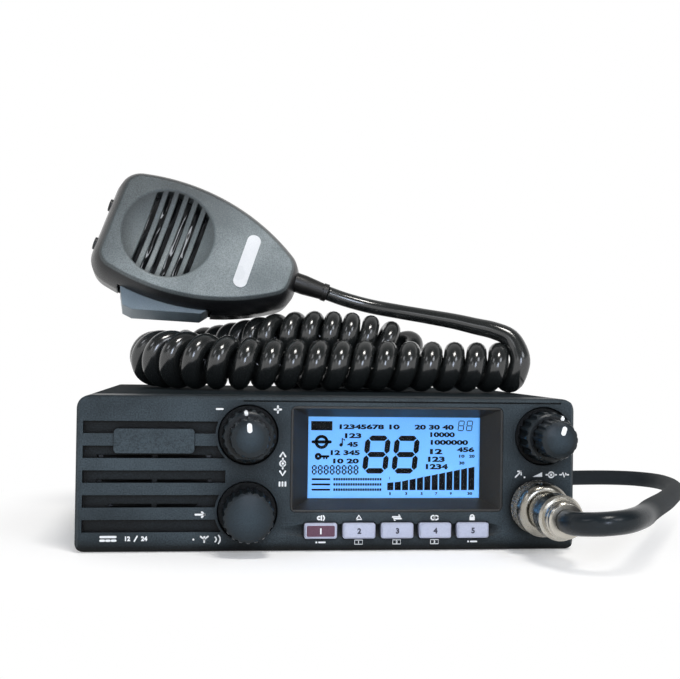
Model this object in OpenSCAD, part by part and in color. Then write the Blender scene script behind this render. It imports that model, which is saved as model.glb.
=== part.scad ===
// Mobile transceiver with a hand microphone on a curly cord.
// Millimetres. X to the right as seen from the front, Y to the rear, Z up.
// The origin is the middle of the case's underside.

/* [Case] */
// Width of the case and the front panel
body_w = 170; // [166:1:210]
// Height of the case and the front panel
body_h = 52; // [52:1:64]
// Depth from the front panel's face to the rear edge of the covers
body_d = 130; // [120:1:170]
// Sheet thickness of the covers
cover_t = 1.2; // [0.8:0.1:1.6]
// Outer radius of the case's upper edges
top_r = 4.5; // [3.5:0.5:6]
// Outer radius of the case's lower edges
bottom_r = 3; // [2.6:0.2:4]
// Height of the side rail's lower edge above the base
rail_z = 19; // [16:1:22]
// Height of the exposed side rail between the covers
rail_h = 13; // [11:1:16]
// Wall of the cast frame
frame_t = 2; // [1.6:0.2:3]
// Thickness of the frame's rear wall
rear_t = 3; // [2.4:0.2:4]
// Diameter of the tapped holes for the mounting bracket
bracket_hole_d = 4.2; // [3.3:0.1:5]
// Spacing of the two bracket holes on each side
bracket_spacing = 40; // [30:1:60]

/* [Front panel] */
// Depth of the moulded panel from its face to its rear edge
panel_d = 16; // [16:0.5:19]
// Thickness of the panel's front wall
panel_wall = 4; // [3.4:0.2:4.2]
// Thickness of the panel's skirt
skirt_t = 2.4; // [2:0.1:2.6]
// Bevel round the panel's face
face_bevel = 1.2; // [0.6:0.1:2]
// Height of the bevel along the panel's lower edge
chin_h = 2; // [1:0.2:3]
// Distance from the left end to the louvres
louvre_inset = 2.3; // [2:0.1:4]
// Length of the longest louvre
louvre_len = 47; // [40:0.5:47]
// Height of a louvre
louvre_h = 4.1; // [3:0.1:5]
// Spacing of the louvres
louvre_pitch = 8.2; // [7.5:0.1:8.5]
// Upper edge of the top louvre above the base
louvre_top = 43.5; // [42:0.5:46]
// Depth of a louvre
louvre_depth = 1.8; // [1:0.1:2.4]
// Length of the bare raised plate across the upper louvres
plate_w = 26.6; // [20:0.2:30]
// Height of the bare raised plate
plate_h = 8.2; // [6:0.2:9]

/* [Display] */
// Distance from the left end to the display's surround
display_inset = 71.1; // [70:0.1:73]
// Width of the display's surround
display_w = 73.5; // [70:0.5:75]
// Height of the display's surround
display_h = 35.9; // [33:0.1:35.9]
// Lower edge of the surround above the base
display_z = 13; // [12.5:0.1:13.5]
// Width of the visible screen
screen_w = 60.4; // [54:0.2:62]
// Height of the visible screen
screen_h = 28.1; // [25:0.1:29]
// Depth of the sunk screen behind the panel's face
screen_depth = 7; // [6:0.2:7.4]

/* [Keys] */
// Width of a key
key_w = 11.1; // [9:0.1:11.4]
// Height of a key
key_h = 5.2; // [4:0.1:5.4]
// Spacing of the keys
key_pitch = 13.1; // [13:0.1:13.6]
// Number of keys in the row
key_count = 5; // [5:1:5]
// Distance from the left end to the first key
key_inset = 76; // [75:0.1:78]
// Height of the key row's middle above the base
key_z = 6.9; // [6.6:0.1:7.2]
// How far a key stands out of the panel
key_stand = 1.6; // [1.2:0.1:2.5]
// Travel of a key
key_travel = 0.8; // [0.4:0.1:0.8]

/* [Knobs] */
// Distance from the left end to the left knobs' axis
left_knob_inset = 56.8; // [56:0.1:58]
// Height of the upper knobs' axis above the base
upper_knob_z = 39.1; // [38:0.1:39.5]
// Height of the channel knob's axis above the base
channel_knob_z = 13.3; // [13:0.1:14]
// Distance from the right end to the right knob's axis
right_knob_inset = 11; // [11:0.1:12]
// Radius of the dished collar round a knob
collar_r = 10.2; // [9.8:0.1:10.6]
// Depth of the dished collar
collar_depth = 1.2; // [0.8:0.1:1.4]
// Diameter of an outer ring knob
ring_knob_d = 17.5; // [16:0.1:18.4]
// Front of an outer ring knob ahead of the panel's face
ring_knob_front = 8.6; // [7:0.2:9]
// Diameter of an inner knob
inner_knob_d = 12.8; // [11:0.1:14]
// Front of an inner knob ahead of the panel's face
inner_knob_front = 19; // [16:0.5:20]
// Diameter of the channel knob
channel_knob_d = 16.9; // [15:0.1:18.4]
// Front of the channel knob ahead of the panel's face
channel_knob_front = 15.5; // [13:0.5:17]
// Push travel of the channel knob
push_travel = 0.6; // [0.3:0.1:0.6]
// Diameter of the hollow outer shafts and of the channel shaft
outer_shaft_d = 6; // [5.6:0.1:6.4]
// Diameter of the inner shafts
inner_shaft_d = 4; // [3.4:0.1:4.2]

/* [Microphone plug] */
// Distance from the right end to the microphone socket's axis
socket_inset = 13.9; // [13.4:0.1:14.4]
// Height of the microphone socket's axis above the base
socket_z = 15; // [14.4:0.1:15.4]
// Outer diameter of the socket's threaded nose
nose_d = 14.4; // [13.6:0.1:14.8]
// Wall of the plug's coupling ring round the nose
coupling_wall = 1.8; // [1:0.05:2.2]
// Rear end of the plug ahead of the panel's face
plug_len = 35; // [33:0.5:38]
// Diameter of the cord's wire in the curls and at the plug
cord_d = 7.5; // [6.4:0.1:8]

/* [Hand microphone] */
// Length of the microphone's front face
mic_len = 75.9; // [70:0.1:80]
// Width of the microphone's front face
mic_w = 46.8; // [44:0.1:50]
// Thickness of the microphone's housing
mic_t = 30.5; // [28:0.5:34]
// Depth of the seam between the two shells behind the face
mic_seam = 11; // [9:0.5:11.5]
// How far the shells stand out at the seam, beyond the face's outline
mic_flare = 3.4; // [2:0.1:4]
// Diameter of the lead where it leaves the microphone
lead_d = 6; // [5:0.1:6.8]
// Wall of the microphone's shells
mic_wall = 2.2; // [1.8:0.1:2.6]
// Radius of the dished grille
grille_r = 19.2; // [16:0.1:20]
// Depth of the dished grille
grille_depth = 4.2; // [3:0.1:4.4]
// Width of a grille slot
slot_w = 2.2; // [1.6:0.1:2.6]
// Spacing of the grille slots
slot_pitch = 4.2; // [4:0.1:4.6]
// How far the row of slots is moved from the grille's middle towards the cord
slot_shift = 1.7; // [0:0.1:2]
// Number of grille slots
slot_count = 6; // [4:1:7]
// Turn of the microphone's long axis below level
mic_tilt = 19; // [15:1:24]
// Lean of the microphone's face away from upright
mic_lean = 15; // [10:1:18]

/* [Hidden] */
$fn = 64;

// Clearance between pieces that are fitted and stay still
fit_gap = 0.1;
// Radial clearance of a turning or sliding shaft
running_gap = 0.05;
// Clearance round a moving key or button
key_gap = 0.25;
// Small overlap that joins the parts of one piece
join = 0.02;

left_x = -body_w / 2;
right_x = body_w / 2;
face_y = -body_d / 2;
rear_y = body_d / 2;

// Places on the front panel
left_knob_x = left_x + left_knob_inset;
right_knob_x = right_x - right_knob_inset;
socket_x = right_x - socket_inset;
display_x = left_x + display_inset + display_w / 2;
display_mid_z = display_z + display_h / 2;
speaker_x = left_x + 25.8;
speaker_z = 26;
speaker_r = 19.5;
speaker_rim = 1.5;
plate_x = left_x + 12.3 + plate_w / 2;
plate_z = 36.9;

// Depths behind the face, for what stands behind the front wall
lens_t = 1.1;
glass_t = 2.6;
glass_margin = 5;
board_t = 1.6;
glass_depth = screen_depth + lens_t + 0.2;
backlight_depth = glass_depth + glass_t + fit_gap;
front_board_depth = panel_d + 0.2;
pot_depth = 6;
pot_w = 12;
bushing_r = 4.4;
bushing_front = 1.2;
// Depths of the shafts' rear ends, and the room behind them in the controls
outer_shaft_end = 13.5;
inner_shaft_end = 15;
shaft_end_gap = 0.3;
// Key: flange behind the front wall, stem towards the switch
key_flange_t = 1;
key_flange_depth = panel_wall + 0.2;
key_stem_end = key_flange_depth + key_flange_t + 6.4;
// Faces of the side rails' plates, and the main board's height
frame_outer_x = body_w / 2 - skirt_t - fit_gap;
frame_inner_x = frame_outer_x - frame_t;
board_z = 13;

// Turns a flat outline so that its second axis stands up, and runs it from y0 back to y1
module along_y(y0, y1) {
  translate([0, y1, 0]) rotate([90, 0, 0]) linear_extrude(height = y1 - y0) children();
}

// Runs an outline of depth and height from x0 to x1
module along_x(x0, x1) {
  translate([x0, 0, 0]) rotate([90, 0, 90]) linear_extrude(height = x1 - x0) children();
}

// Puts a revolved shape on an axis square to the front panel, with its own Z ahead of the face
module on_panel(x, z) {
  translate([x, face_y, z]) rotate([90, 0, 0]) children();
}

// A disc or ring on that axis, from h0 to h1 ahead of the face
module disc(r, h0, h1) {
  translate([0, 0, h0]) cylinder(r = r, h = h1 - h0);
}

module rounded_rect(w, h, r) {
  square([w - 2 * r, h], center = true);
  square([w, h - 2 * r], center = true);
  for (x = [-1, 1], y = [-1, 1]) translate([x * (w / 2 - r), y * (h / 2 - r)]) circle(r = r);
}

// The case seen from the front, drawn in by an inset
module case_outline(inset) {
  w = body_w - 2 * inset;
  h = body_h - 2 * inset;
  rt = top_r - inset;
  rb = bottom_r - inset;
  translate([0, inset]) {
    translate([-w / 2, rb]) square([w, h - rt - rb]);
    translate([rb - w / 2, 0]) square([w - 2 * rb, h - rt]);
    translate([rt - w / 2, rb]) square([w - 2 * rt, h - rb]);
    for (side = [-1, 1]) {
      translate([side * (w / 2 - rb), rb]) circle(r = rb);
      translate([side * (w / 2 - rt), h - rt]) circle(r = rt);
    }
  }
}

function key_x(i) = left_x + key_inset + key_w / 2 + i * key_pitch;

// Front panel

module panel_blank() {
  b = face_bevel;
  intersection() {
    along_y(face_y, face_y + panel_d) case_outline(0);
    along_x(left_x, right_x) polygon([[face_y, chin_h], [face_y, body_h - b], [face_y + b, body_h],
      [face_y + panel_d, body_h], [face_y + panel_d, 0], [face_y + b, 0]]);
    linear_extrude(height = body_h) polygon([[left_x, face_y + b], [left_x + b, face_y],
      [right_x - b, face_y], [right_x, face_y + b], [right_x, face_y + panel_d], [left_x, face_y + panel_d]]);
  }
}

// One louvre: its right end follows the collars, and the raised plate stays clear of it
module louvre_outline(row) {
  collar_gap = 0.8;
  difference() {
    translate([left_x + louvre_inset, louvre_top - louvre_h - row * louvre_pitch])
      square([louvre_len, louvre_h]);
    translate([left_knob_x, upper_knob_z]) circle(r = collar_r + collar_gap);
    translate([left_knob_x, channel_knob_z]) circle(r = collar_r + collar_gap);
    translate([plate_x, plate_z]) rounded_rect(plate_w, plate_h, 1.3);
  }
}

// The two sound slits at the foot of a louvre
module louvre_slits(row, length) {
  slit_h = 0.9;
  rib = 1.7;
  z = louvre_top - louvre_h - row * louvre_pitch;
  for (side = [0, 1]) {
    translate([speaker_x - rib / 2 - length + side * (length + rib), face_y, z])
      cube([length, panel_wall + 1, slit_h]);
  }
}

// Shallow boat-shaped channel that the keys stand in: a round bottom with pointed ends
module key_channel() {
  r = 2.7;
  ahead = 1.7;
  left_end = key_x(0) - key_w / 2 - 1.3;
  right_end = key_x(key_count - 1) + key_w / 2 + 1.3;
  point_len = 8.9;
  right_len = 5;
  translate([0, face_y - ahead, key_z]) rotate([0, 90, 0]) {
    translate([0, 0, left_end]) cylinder(r = r, h = right_end - left_end);
    translate([0, 0, left_end - point_len]) cylinder(r1 = ahead, r2 = r, h = point_len);
    translate([0, 0, right_end]) cylinder(r1 = r, r2 = ahead, h = right_len);
  }
}

module front_panel() {
  plate_stand = 0.3;
  collar_draft = 0.4;
  visor_left = left_knob_x - 1.8;
  color("#2b2e31") difference() {
    union() {
      panel_blank();
      along_y(face_y - plate_stand, face_y + 1)
        translate([plate_x, plate_z]) rounded_rect(plate_w, plate_h, 1.3);
    }
    along_y(face_y + panel_wall, face_y + panel_d + 1) case_outline(skirt_t);
    for (row = [0 : 4]) along_y(face_y - 1, face_y + louvre_depth) louvre_outline(row);
    louvre_slits(1, 18.1);
    louvre_slits(2, 18.1);
    louvre_slits(3, 14.3);
    translate([visor_left, face_y - 1, 50.2]) cube([right_x - visor_left - 5, 1.5, 0.5]);
    key_channel();
    for (i = [0 : key_count - 1]) along_y(face_y - 1, face_y + panel_wall + 1)
      translate([key_x(i), key_z]) rounded_rect(key_w + 2 * key_gap, key_h + 2 * key_gap, 0.9);
    along_y(face_y - 1, face_y + panel_wall + 1)
      translate([display_x, display_mid_z]) rounded_rect(display_w, display_h, 2);
    for (place = [[left_knob_x, upper_knob_z], [left_knob_x, channel_knob_z], [right_knob_x, upper_knob_z]]) {
      on_panel(place[0], place[1]) {
        translate([0, 0, -collar_depth])
          cylinder(r1 = collar_r - collar_draft, r2 = collar_r, h = collar_depth + join);
        disc(bushing_r + fit_gap, -panel_wall - 1, 1);
      }
    }
    on_panel(socket_x, socket_z) disc(nose_d / 2 + fit_gap, -panel_wall - 1, 1);
  }
}

// Display

// Funnel from the surround's front edge in to the screen
module display_funnel() {
  rim = 0.8;
  wide = display_w / 2 - rim;
  high = display_h / 2 - rim;
  intersection() {
    linear_extrude(height = body_h) polygon([[display_x - wide, face_y], [display_x + wide, face_y],
      [display_x + screen_w / 2, face_y + screen_depth], [display_x - screen_w / 2, face_y + screen_depth]]);
    along_x(left_x, right_x) polygon([[face_y, display_mid_z - high], [face_y, display_mid_z + high],
      [face_y + screen_depth, display_mid_z + screen_h / 2],
      [face_y + screen_depth, display_mid_z - screen_h / 2]]);
  }
}

// Flat plate behind the face, centred on the display
module display_plate(w, h, depth, t) {
  translate([display_x - w / 2, face_y + depth, display_mid_z - h / 2]) cube([w, t, h]);
}

module display_bezel() {
  flange = 1.5;
  color("#151618") difference() {
    union() {
      along_y(face_y, face_y + screen_depth + lens_t) translate([display_x, display_mid_z])
        rounded_rect(display_w - 2 * fit_gap, display_h - 2 * fit_gap, 2);
      display_plate(display_w + 2 * flange, display_h - 4, panel_wall + fit_gap, flange);
    }
    display_funnel();
    translate([display_x - screen_w / 2, face_y - 1, display_mid_z - screen_h / 2])
      cube([screen_w, screen_depth + 3, screen_h]);
    display_plate(screen_w + 2, screen_h + 2, screen_depth, lens_t + 1);
    on_panel(socket_x, socket_z) disc(nut_r + 0.3, -screen_depth, -panel_wall);
  }
}

module display_lens() {
  color("#9cc4e8", 0.4) display_plate(screen_w + 1.8, screen_h + 1.8, screen_depth + join, lens_t - join);
}

module lcd_glass() {
  color("#5fa4e4") display_plate(screen_w + glass_margin, screen_h + glass_margin, glass_depth, glass_t);
}

module lcd_backlight() {
  thickness = front_board_depth - backlight_depth;
  color("#e8eef2")
    display_plate(screen_w + glass_margin, screen_h + glass_margin, backlight_depth, thickness);
}

// Board behind the panel, with one touch switch behind each key
module front_board() {
  switch_w = 6;
  switch_front = key_stem_end + key_travel + 0.2;
  edge = 4.6;
  color("#1f5a3a") difference() {
    translate([left_x + 46, face_y + front_board_depth, 3.2])
      cube([body_w - 46 - edge - skirt_t, board_t, body_h - 6.6]);
    on_panel(socket_x, socket_z) disc(nose_r + 1.4, -front_board_depth - board_t - 1, 0);
  }
  color("#2a2a2c") for (i = [0 : key_count - 1])
    translate([key_x(i) - switch_w / 2, face_y + switch_front, key_z - 3.4])
      cube([switch_w, front_board_depth - switch_front, switch_w]);
}

// A key: cap, retaining flange behind the wall and a stem towards its switch
module key_cap(i) {
  stem_r = 1.6;
  corner_r = 0.8;
  crown_h = 0.5;
  crown_inset = 0.35;
  flange_reach = 0.6;
  on_panel(key_x(i), key_z) {
    translate([0, 0, -key_flange_depth - join])
      linear_extrude(height = key_flange_depth + key_stand - crown_h) rounded_rect(key_w, key_h, corner_r);
    translate([0, 0, key_stand - crown_h - 2 * join]) linear_extrude(height = crown_h + 2 * join)
      rounded_rect(key_w - 2 * crown_inset, key_h - 2 * crown_inset, corner_r);
    translate([0, 0, -key_flange_depth - key_flange_t]) linear_extrude(height = key_flange_t)
      rounded_rect(key_w + 2 * flange_reach, key_h + 2 * flange_reach, corner_r);
    disc(stem_r, -key_stem_end, join - key_flange_depth - key_flange_t);
  }
}

module key_1() { color("#6b3a4c") key_cap(0); }
module key_2() { color("#dcd9ee") key_cap(1); }
module key_3() { color("#dcd9ee") key_cap(2); }
module key_4() { color("#dcd9ee") key_cap(3); }
module key_5() { color("#dcd9ee") key_cap(4); }

// Knobs and the controls behind them

// Material left in front of a shaft in a ring knob and in an inner or channel knob
ring_top_t = 1.6;
knob_cap_t = 3;
hub_t = 1.4;

// Grip flutes round a knob of radius r, cut to a depth
module flutes(r, count, h0, h1, flute_r, depth) {
  for (i = [0 : count - 1]) rotate([0, 0, (i + 0.5) * 360 / count])
    translate([r - depth + flute_r, 0, h0]) cylinder(r = flute_r, h = h1 - h0, $fn = 24);
}

// Body of a control between the board and the panel, with its threaded bushing through the panel
module control_body() {
  translate([-pot_w / 2, -pot_w / 2, -front_board_depth]) cube([pot_w, pot_w, front_board_depth - pot_depth]);
  disc(bushing_r, -pot_depth - join, bushing_front);
}

// Dual control: body on the board, threaded bushing through the panel, bores for both shafts
module dual_pot() {
  color("#8d9094") difference() {
    control_body();
    disc(outer_shaft_d / 2 + running_gap, -outer_shaft_end - shaft_end_gap, bushing_front + 1);
    disc(inner_shaft_d / 2 + running_gap, -inner_shaft_end - shaft_end_gap, 0);
  }
}

module coarse_shaft() {
  color("#c9ccd0") difference() {
    disc(outer_shaft_d / 2, -outer_shaft_end, ring_knob_front - ring_top_t);
    disc(inner_shaft_d / 2 + running_gap, -outer_shaft_end - 1, ring_knob_front);
  }
}

module fine_shaft() {
  color("#c9ccd0") disc(inner_shaft_d / 2, -inner_shaft_end, inner_knob_front - knob_cap_t);
}

// Outer ring knob: a drum with grip flutes, hollow behind, with a hub on the hollow shaft
module ring_knob() {
  r = ring_knob_d / 2;
  base = 0.5 - collar_depth;
  hole_r = inner_shaft_d / 2 + 0.3;
  color("#1c1d1f") difference() {
    rotate_extrude() polygon([[hole_r, base], [r, base], [r, ring_knob_front - 1.6],
      [r - 0.4, ring_knob_front - 0.6], [r - 1.2, ring_knob_front], [hole_r, ring_knob_front]]);
    disc(outer_shaft_d / 2, base - 1, ring_knob_front - ring_top_t);
    difference() {
      disc(r - 2.2, base - 1, ring_knob_front - 3);
      disc(outer_shaft_d / 2 + hub_t, bushing_front + 0.5, ring_knob_front);
    }
    flutes(r, 18, base - 1, ring_knob_front + 1, 1.2, 0.65);
  }
}

// Gently domed front of a knob: a slice of a ball of the given edge radius, its top at a height
dome_h = 0.9;
dome_inset = 0.9;

module knob_dome(edge_r, top) {
  ball_r = (edge_r * edge_r + dome_h * dome_h) / (2 * dome_h);
  intersection() {
    translate([0, 0, top - ball_r]) sphere(r = ball_r, $fn = 96);
    disc(edge_r, top - dome_h - join, top);
  }
}

// Inner knob: a slimmer fluted drum
module inner_knob() {
  r = inner_knob_d / 2;
  base = ring_knob_front + 0.6;
  color("#1c1d1f") difference() {
    union() {
      rotate_extrude() polygon([[0, base], [r + 0.2, base], [r, inner_knob_front - dome_h - 0.9],
        [r - 0.3, inner_knob_front - dome_h - 0.3], [r - dome_inset, inner_knob_front - dome_h],
        [0, inner_knob_front - dome_h]]);
      knob_dome(r - dome_inset, inner_knob_front);
    }
    disc(inner_shaft_d / 2, base - 1, inner_knob_front - knob_cap_t);
    flutes(r + 0.2, 16, base - 1, inner_knob_front + 1, 0.9, 0.6);
  }
}

module clarifier_pot() { on_panel(left_knob_x, upper_knob_z) dual_pot(); }
module clarifier_coarse_shaft() { on_panel(left_knob_x, upper_knob_z) coarse_shaft(); }
module clarifier_coarse_knob() { on_panel(left_knob_x, upper_knob_z) ring_knob(); }
module clarifier_fine_shaft() { on_panel(left_knob_x, upper_knob_z) fine_shaft(); }
module clarifier_fine_knob() { on_panel(left_knob_x, upper_knob_z) inner_knob(); }
module volume_pot() { on_panel(right_knob_x, upper_knob_z) dual_pot(); }
module squelch_shaft() { on_panel(right_knob_x, upper_knob_z) coarse_shaft(); }
module squelch_knob() { on_panel(right_knob_x, upper_knob_z) ring_knob(); }
module volume_shaft() { on_panel(right_knob_x, upper_knob_z) fine_shaft(); }
module volume_knob() { on_panel(right_knob_x, upper_knob_z) inner_knob(); }

// Channel selector: endless encoder with a push switch under its shaft
module channel_encoder() {
  color("#8d9094") on_panel(left_knob_x, channel_knob_z) difference() {
    control_body();
    disc(outer_shaft_d / 2 + running_gap, -inner_shaft_end - push_travel - 0.2, bushing_front + 1);
  }
}

// Plunger of the push switch, just behind the turning shaft
channel_shaft_end = 13;

module channel_plunger() {
  color("#b8bbc0") on_panel(left_knob_x, channel_knob_z)
    disc(outer_shaft_d / 2 - running_gap, -inner_shaft_end, -channel_shaft_end - fit_gap);
}

module channel_shaft() {
  color("#c9ccd0") on_panel(left_knob_x, channel_knob_z)
    disc(outer_shaft_d / 2, -channel_shaft_end, channel_knob_front - knob_cap_t);
}

module channel_knob() {
  r = channel_knob_d / 2;
  base = push_travel - 0.4;
  hollow_h = 8;
  color("#1c1d1f") on_panel(left_knob_x, channel_knob_z) difference() {
    union() {
      rotate_extrude() polygon([[0, base], [r, base], [r, channel_knob_front - dome_h - 0.9],
        [r - 0.3, channel_knob_front - dome_h - 0.3], [r - dome_inset, channel_knob_front - dome_h],
        [0, channel_knob_front - dome_h]]);
      knob_dome(r - dome_inset, channel_knob_front);
    }
    disc(outer_shaft_d / 2, base - 1, channel_knob_front - knob_cap_t);
    difference() {
      disc(r - 2.2, base - 1, hollow_h);
      disc(outer_shaft_d / 2 + hub_t, bushing_front + push_travel + 0.5, hollow_h + 1);
    }
    flutes(r, 20, base - 1, channel_knob_front + 1, 1.0, 0.6);
  }
}

// Loudspeaker behind the louvres

// Basket with the magnet's pot: rim, ledge for the cone, sloping wall, closed back
module speaker() {
  rim_front = panel_wall + 0.2;
  ledge = rim_front + 1.2;
  magnet_r = 13.5;
  back = 17;
  color("#4a4c50") on_panel(speaker_x, speaker_z) rotate_extrude()
    polygon([[speaker_r - speaker_rim, -rim_front], [speaker_r, -rim_front], [speaker_r, -ledge - 0.6],
      [speaker_r - speaker_rim, -ledge - 1], [magnet_r, -11], [magnet_r, -back], [0, -back], [0, -12],
      [magnet_r - 1.5, -10.2], [speaker_r - 2.6, -ledge - 0.6], [speaker_r - 2.6, -ledge],
      [speaker_r - speaker_rim, -ledge]]);
}

// Paper cone with a dust cap, its flat edge on the basket's ledge
module speaker_cone() {
  edge_front = panel_wall + 0.4;
  edge_r = speaker_r - speaker_rim - 0.2;
  edge_t = 0.8;
  color("#1a1a1c") on_panel(speaker_x, speaker_z) rotate_extrude()
    polygon([[edge_r, -edge_front], [edge_r - 0.9, -edge_front], [7.5, -8.2], [5, -7], [0, -6.2], [0, -6.8],
      [5, -7.6], [7.4, -9], [edge_r - 0.9, -edge_front - edge_t], [edge_r, -edge_front - edge_t]]);
}

// Microphone socket and plug

// Values that the socket and the plug share: radii from the threaded nose, distances ahead of the face.
// The display's flange leaves room for the socket's nut.
nose_r = nose_d / 2;
nose_len = 8;
nose_wall = 1;
skirt_r = nose_r - nose_wall - 0.2;
shell_collar_r = nose_r - 0.1;
shell_collar_front = 10.1;
neck_r = nose_r - 0.9;
washer_t = 0.8;
ring_len = 13;
nut_r = nose_r + 2.2;
tail_start = 29.5;

module mic_socket() {
  flange_r = nose_r + 1.3;
  nut_t = 2.5;
  color("#d4d6d8") on_panel(socket_x, socket_z) difference() {
    union() {
      disc(nose_r, -10, nose_len);
      disc(flange_r, 0, 1.1);
      translate([0, 0, -panel_wall - nut_t - fit_gap]) cylinder(r = nut_r, h = nut_t, $fn = 6);
    }
    disc(nose_r - nose_wall, -6, nose_len + 1);
    disc(nose_r - 2 * nose_wall, -11, 0);
  }
}

module mic_socket_insert() {
  pin_r = 0.6;
  pin_circle_r = 3.2;
  insert_r = nose_r - 2 * nose_wall;
  color("#3a3b3e") on_panel(socket_x, socket_z) {
    disc(insert_r, -12, -6);
    for (i = [0 : 4]) rotate([0, 0, 90 + i * 72]) translate([pin_circle_r, 0, 0]) disc(pin_r, -14.5, -1.6);
    disc(pin_r, -14.5, -1.6);
  }
}

// Shell of the plug: skirt in the socket, collar that the ring pulls on, neck and rear body
module plug_shell() {
  body_start = 21.5;
  body_r = neck_r + 1.1;
  color("#cfd1d3") on_panel(socket_x, socket_z) difference() {
    rotate_extrude() polygon([[cord_d / 2, -1], [skirt_r, -1], [skirt_r, nose_len + 0.2],
      [shell_collar_r, nose_len + 0.2], [shell_collar_r, shell_collar_front], [neck_r, shell_collar_front],
      [neck_r, body_start], [body_r, body_start + 0.8], [body_r, tail_start - 1], [body_r - 0.7, tail_start],
      [cord_d / 2, tail_start]]);
    disc(skirt_r - 1.2, -2, body_start + 1);
  }
}

// Washer that slides with the coupling ring and bears on the shell's collar
module plug_washer() {
  color("#b9bbbe") on_panel(socket_x, socket_z) difference() {
    disc(nose_r, shell_collar_front + fit_gap, shell_collar_front + fit_gap + washer_t);
    disc(neck_r + running_gap, shell_collar_front, shell_collar_front + 2);
  }
}

// Screw-on coupling ring: grip band, then a round shoulder down to the neck
module plug_ring() {
  bore = nose_r + 0.15;
  r = bore + coupling_wall;
  hole = neck_r + 0.35;
  lip = shell_collar_front + fit_gap + washer_t + running_gap;
  band_end = ring_len - 3;
  shoulder = [for (a = [0 : 15 : 90])
    [hole + (r - hole) * cos(a), band_end + (ring_len - band_end) * sin(a)]];
  color("#c3c5c8") on_panel(socket_x, socket_z) rotate_extrude()
    polygon(concat([[bore, 1.5], [r - 0.4, 1.5], [r, 1.9]], shoulder, [[hole, lip], [bore, lip]]));
}

// Clamp at the plug's tail: a stepped sleeve that grips the cord
module plug_clamp() {
  r = neck_r - 0.1;
  lip = 0.5;
  color("#d0d2d4") on_panel(socket_x, socket_z) difference() {
    rotate_extrude() polygon([[0, tail_start], [r, tail_start], [r, plug_len - 2.2],
      [r - 0.3, plug_len - 1.8], [r - 0.3, plug_len - lip], [r - 0.3 - lip, plug_len], [0, plug_len]]);
    disc(cord_d / 2, tail_start - 1, plug_len - 2);
  }
}

// Case

// Screws through the covers' flanges: their places along the case and their heights
screw_y = [face_y + panel_d + 18, rear_y - 18];
upper_screw_z = rail_z + rail_h + 6;
lower_screw_z = rail_z - 6;
screw_head_r = 2.4;
screw_shank_r = 1.25;
screw_len = right_x - frame_inner_x;

module screw_shape(head_r, shank_r, length) {
  rotate([0, -90, 0]) {
    translate([0, 0, -cover_t]) cylinder(r1 = shank_r, r2 = head_r, h = cover_t);
    translate([0, 0, -length]) cylinder(r = shank_r, h = length - cover_t + join);
  }
}

module each_screw() {
  for (side = [0, 1], y = screw_y, z = [upper_screw_z, lower_screw_z])
    mirror([side, 0, 0]) translate([left_x, y, z]) children();
}

module cover_screws() {
  color("#2c2c2e") each_screw() screw_shape(screw_head_r, screw_shank_r, screw_len);
}

module screw_holes() {
  each_screw() screw_shape(screw_head_r + fit_gap, screw_shank_r + fit_gap, screw_len + 1);
}

// Both covers: sheet bent round the case, cut off above or below the rail
module cover_sheet() {
  along_y(face_y + panel_d + fit_gap, rear_y) difference() {
    case_outline(0);
    case_outline(cover_t);
  }
}

module top_cover() {
  color("#1e2022") difference() {
    cover_sheet();
    translate([left_x - 1, face_y, -1]) cube([body_w + 2, body_d + 1, rail_z + rail_h + fit_gap + 1]);
    screw_holes();
  }
}

module bottom_cover() {
  color("#1e2022") difference() {
    cover_sheet();
    translate([left_x - 1, face_y, rail_z - fit_gap]) cube([body_w + 2, body_d + 1, body_h]);
    screw_holes();
  }
}

// Front and rear edge of the main board
board_front = face_y + panel_d + 20;
board_rear = rear_y - 10;

// Thread inserts of the bracket: outer radius, and how far they stand inside the side plates
insert_r = 3.8;
insert_depth = 3;

// Places on the rear wall
antenna_x = 40;
antenna_z = 31;
power_x = 14;
power_z = 15;
jack_x = [8, 21];
jack_z = 38;
jack_r = 4;
antenna_r = 15.875 / 2;
power_w = 20;
power_h = 12;
// Rear face of the rear wall, a little inside the covers' edges
wall_rear = rear_y - 0.4;

// Puts a revolved shape on an axis square to the rear wall, with its own Z behind the wall
module on_rear(x, z) {
  translate([x, rear_y, z]) rotate([-90, 0, 0]) children();
}

// Side rails: a plate inside each cover edge, the exposed rail, a ledge for the board, screw pads and bosses
module side_rails() {
  front = face_y + panel_wall + 3;
  rear = wall_rear - rear_t - join;
  rail_front = face_y + panel_d + fit_gap;
  ledge_w = 4;
  ledge_t = 2;
  plate_bottom = bottom_r + 1;
  plate_top = body_h - top_r - 0.5;
  pad_r = 4;
  boss_r = 5.5;
  boss_h = 4;
  color("#55585c") difference() {
    for (side = [0, 1]) mirror([side, 0, 0]) {
      translate([frame_inner_x, front, plate_bottom]) cube([frame_t, rear - front, plate_top - plate_bottom]);
      translate([frame_inner_x, rail_front, rail_z])
        cube([right_x - frame_inner_x, rear - rail_front, rail_h]);
      translate([frame_inner_x - ledge_w, board_front - 2, board_z - ledge_t])
        cube([ledge_w + join, board_rear - board_front + 2, ledge_t]);
      for (y = screw_y, z = [upper_screw_z, lower_screw_z]) translate([frame_inner_x, y, z])
        rotate([0, 90, 0]) cylinder(r = pad_r, h = right_x - cover_t - fit_gap - frame_inner_x);
      for (dy = [-1, 1])
        translate([frame_inner_x - insert_depth, dy * bracket_spacing / 2, rail_z + rail_h / 2])
          rotate([0, 90, 0]) cylinder(r = boss_r, h = boss_h);
    }
    for (side = [0, 1], dy = [-1, 1]) mirror([side, 0, 0])
      translate([frame_inner_x - insert_depth - 1, dy * bracket_spacing / 2, rail_z + rail_h / 2])
        rotate([0, 90, 0]) cylinder(r = insert_r, h = right_x - frame_inner_x + insert_depth + 2);
    screw_holes();
  }
}

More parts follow.
